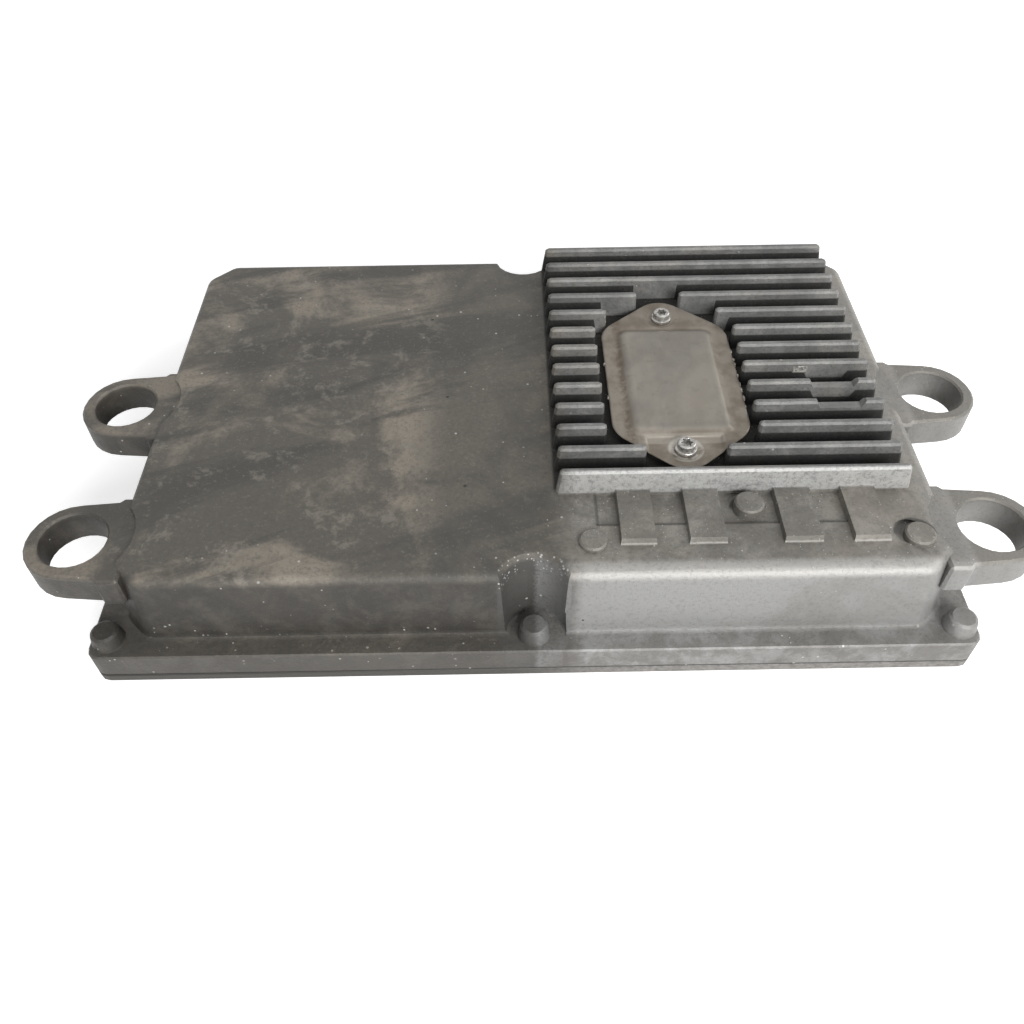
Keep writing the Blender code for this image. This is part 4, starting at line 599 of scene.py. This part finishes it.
lumps = ball[None] * bumps.transpose(2, 0, 1)[..., None] * sizes[:, None, None, :] + middles[:, None, None, :]
lump_faces = grid_faces(rings, wedges)[None] + (np.arange(count) * rings * wedges)[:, None, None]
scraps = shell("gasket_scraps", lumps, lump_faces.reshape(-1, 4))
scraps.data.materials.append(dried_finish)
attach(scraps, "root")

# Rubber seals: the case's flat ring, the cover's gasket and the collars round the headers.
# Moulded rubber, matt, with a faint grain; the header collars are rust-red silicone.
for name, colour, nodes in (
        ("black_rubber", (0.022, 0.022, 0.022), ("case_seal", "cover_gasket")),
        ("red_silicone", (0.26, 0.055, 0.030),
         ("injector_header_seal", "engine_header_seal", "supply_header_seal"))):
    rubber = Finish(name)
    bloom = rubber.clouds(0.0015, 4.0, 0.6)
    paler = tuple(0.5 * part + 0.06 for part in colour)
    rubber_tone = rubber.blend(rubber.rise(bloom, 0.45, 0.75) * 0.5, colour, paler)
    give(rubber.paint(Base_Color=rubber_tone, Roughness=0.5 + 0.25 * bloom, Normal=rubber.relief(bloom, 0.00004)),
         *nodes)


# Small bare metal parts: the screws in the base plate, dulled by dirt, the zinc-plated ones on the
# boards, the power transistors' tinned tabs under the casting's roof, and the brass test terminals.
def numbered(name, count):
    """The names of a row of like nodes, numbered from 1."""
    return [f"{name}_{number}" for number in range(1, count + 1)]


screw_metal, terminal_metal = (0.80, 0.0010, 0.70, 0.28), (0.85, 0.0012, 0.65, 0.25)
for name, (metallic, size, detail, rough), colour, darker, nodes in (
        ("outer_screws", screw_metal, (0.36, 0.35, 0.32), (0.12, 0.11, 0.095), numbered("base_screw", 8)),
        ("inner_screws", screw_metal, (0.56, 0.55, 0.50), (0.36, 0.35, 0.31),
         numbered("logic_screw", 6) + numbered("power_screw", 4)),
        ("tinned_tabs", terminal_metal, (0.42, 0.41, 0.40), (0.24, 0.235, 0.23), numbered("power_transistor", 4)),
        ("terminal_brass", terminal_metal, (0.52, 0.38, 0.15), (0.28, 0.19, 0.08), numbered("test_terminal", 4))):
    metal = Finish(name, metallic=metallic)
    bloom = metal.clouds(size, 4.0, detail)
    give(metal.paint(Base_Color=metal.blend(metal.rise(bloom, 0.35, 0.70), colour, darker),
                     Roughness=rough + 0.3 * bloom, Normal=metal.relief(bloom, 0.00003)), *nodes)

# The two circuit boards: green lacquered glass laminate, with paler copper tracks under the lacquer
# and rows of soldered holes.
laminate = Finish("green_laminate")
tracks = laminate.node("ShaderNodeTexBrick", {"offset": 0.5, "squash": 1.0},
                       {"Vector": laminate.place, "Scale": 300.0, "Mortar Size": 0.06, "Brick Width": 1.6,
                        "Row Height": 0.35}, "Fac")
weave = laminate.clouds(0.0008, 2.0, 0.5)
holes = laminate.dots(0.0045, 0.0006, 0.30)
board_tone = laminate.blend(tracks * 0.6, (0.010, 0.085, 0.040), (0.022, 0.150, 0.070))
board_tone = laminate.blend(holes, board_tone, (0.52, 0.50, 0.45))
give(laminate.paint(Base_Color=board_tone, Roughness=0.28 + 0.15 * weave, Metallic=holes * 0.8,
                    Normal=laminate.relief(weave, 0.00002)), "logic_board", "power_board")

# Moulded and potted parts on the boards: black header shells, the chips and the pale link strip.
# Plastic and resin with a fine moulded grain and slow changes of shade where it flowed.
for name, colour, rough, nodes in (
        ("header_plastic", (0.020, 0.020, 0.021), 0.48, ("injector_header", "engine_header", "supply_header")),
        ("chip_resin", (0.024, 0.024, 0.027), 0.42, ("processor_chip", "driver_chip")),
        ("link_film", (0.42, 0.38, 0.28), 0.45, ("board_link",))):
    moulded = Finish(name)
    texture = moulded.clouds(0.0005, 3.0, 0.6)
    flow = moulded.rise(moulded.clouds(0.008, 3.0, 0.5), 0.40, 0.70)
    moulded_tone = moulded.blend(flow * 0.5, colour, tuple(part * 1.7 + 0.006 for part in colour))
    give(moulded.paint(Base_Color=moulded_tone, Roughness=rough - 0.08 + 0.2 * texture,
                       Normal=moulded.relief(texture, 0.00003)), *nodes)

# Wound and canned parts: aluminium capacitors in dark sleeves, enamelled copper windings and
# the coil's grey ferrite. Fine rings stand for the turns of wire and the crimps.
for name, metallic, first, second, pitch, nodes in (
        ("capacitor_sleeve", 0.1, (0.018, 0.026, 0.060), (0.045, 0.055, 0.095), 0.0100, numbered("capacitor", 4)),
        ("enamelled_copper", 0.7, (0.42, 0.150, 0.055), (0.20, 0.065, 0.025), 0.0009, numbered("inductor", 2)),
        ("ferrite", 0.0, (0.060, 0.060, 0.064), (0.030, 0.030, 0.033), 0.0040, ("boost_coil",))):
    wound = Finish(name, metallic=metallic)
    coils = wound.node("ShaderNodeTexWave", {"wave_type": "BANDS", "bands_direction": "Z"},
                       {"Vector": wound.place, "Scale": 0.31 / pitch, "Distortion": 0.4, "Detail": 1.0}, "Fac")
    give(wound.paint(Base_Color=wound.blend(coils, first, second), Roughness=0.30 + 0.2 * coils,
                     Normal=wound.relief(coils, 0.00012)), *nodes)
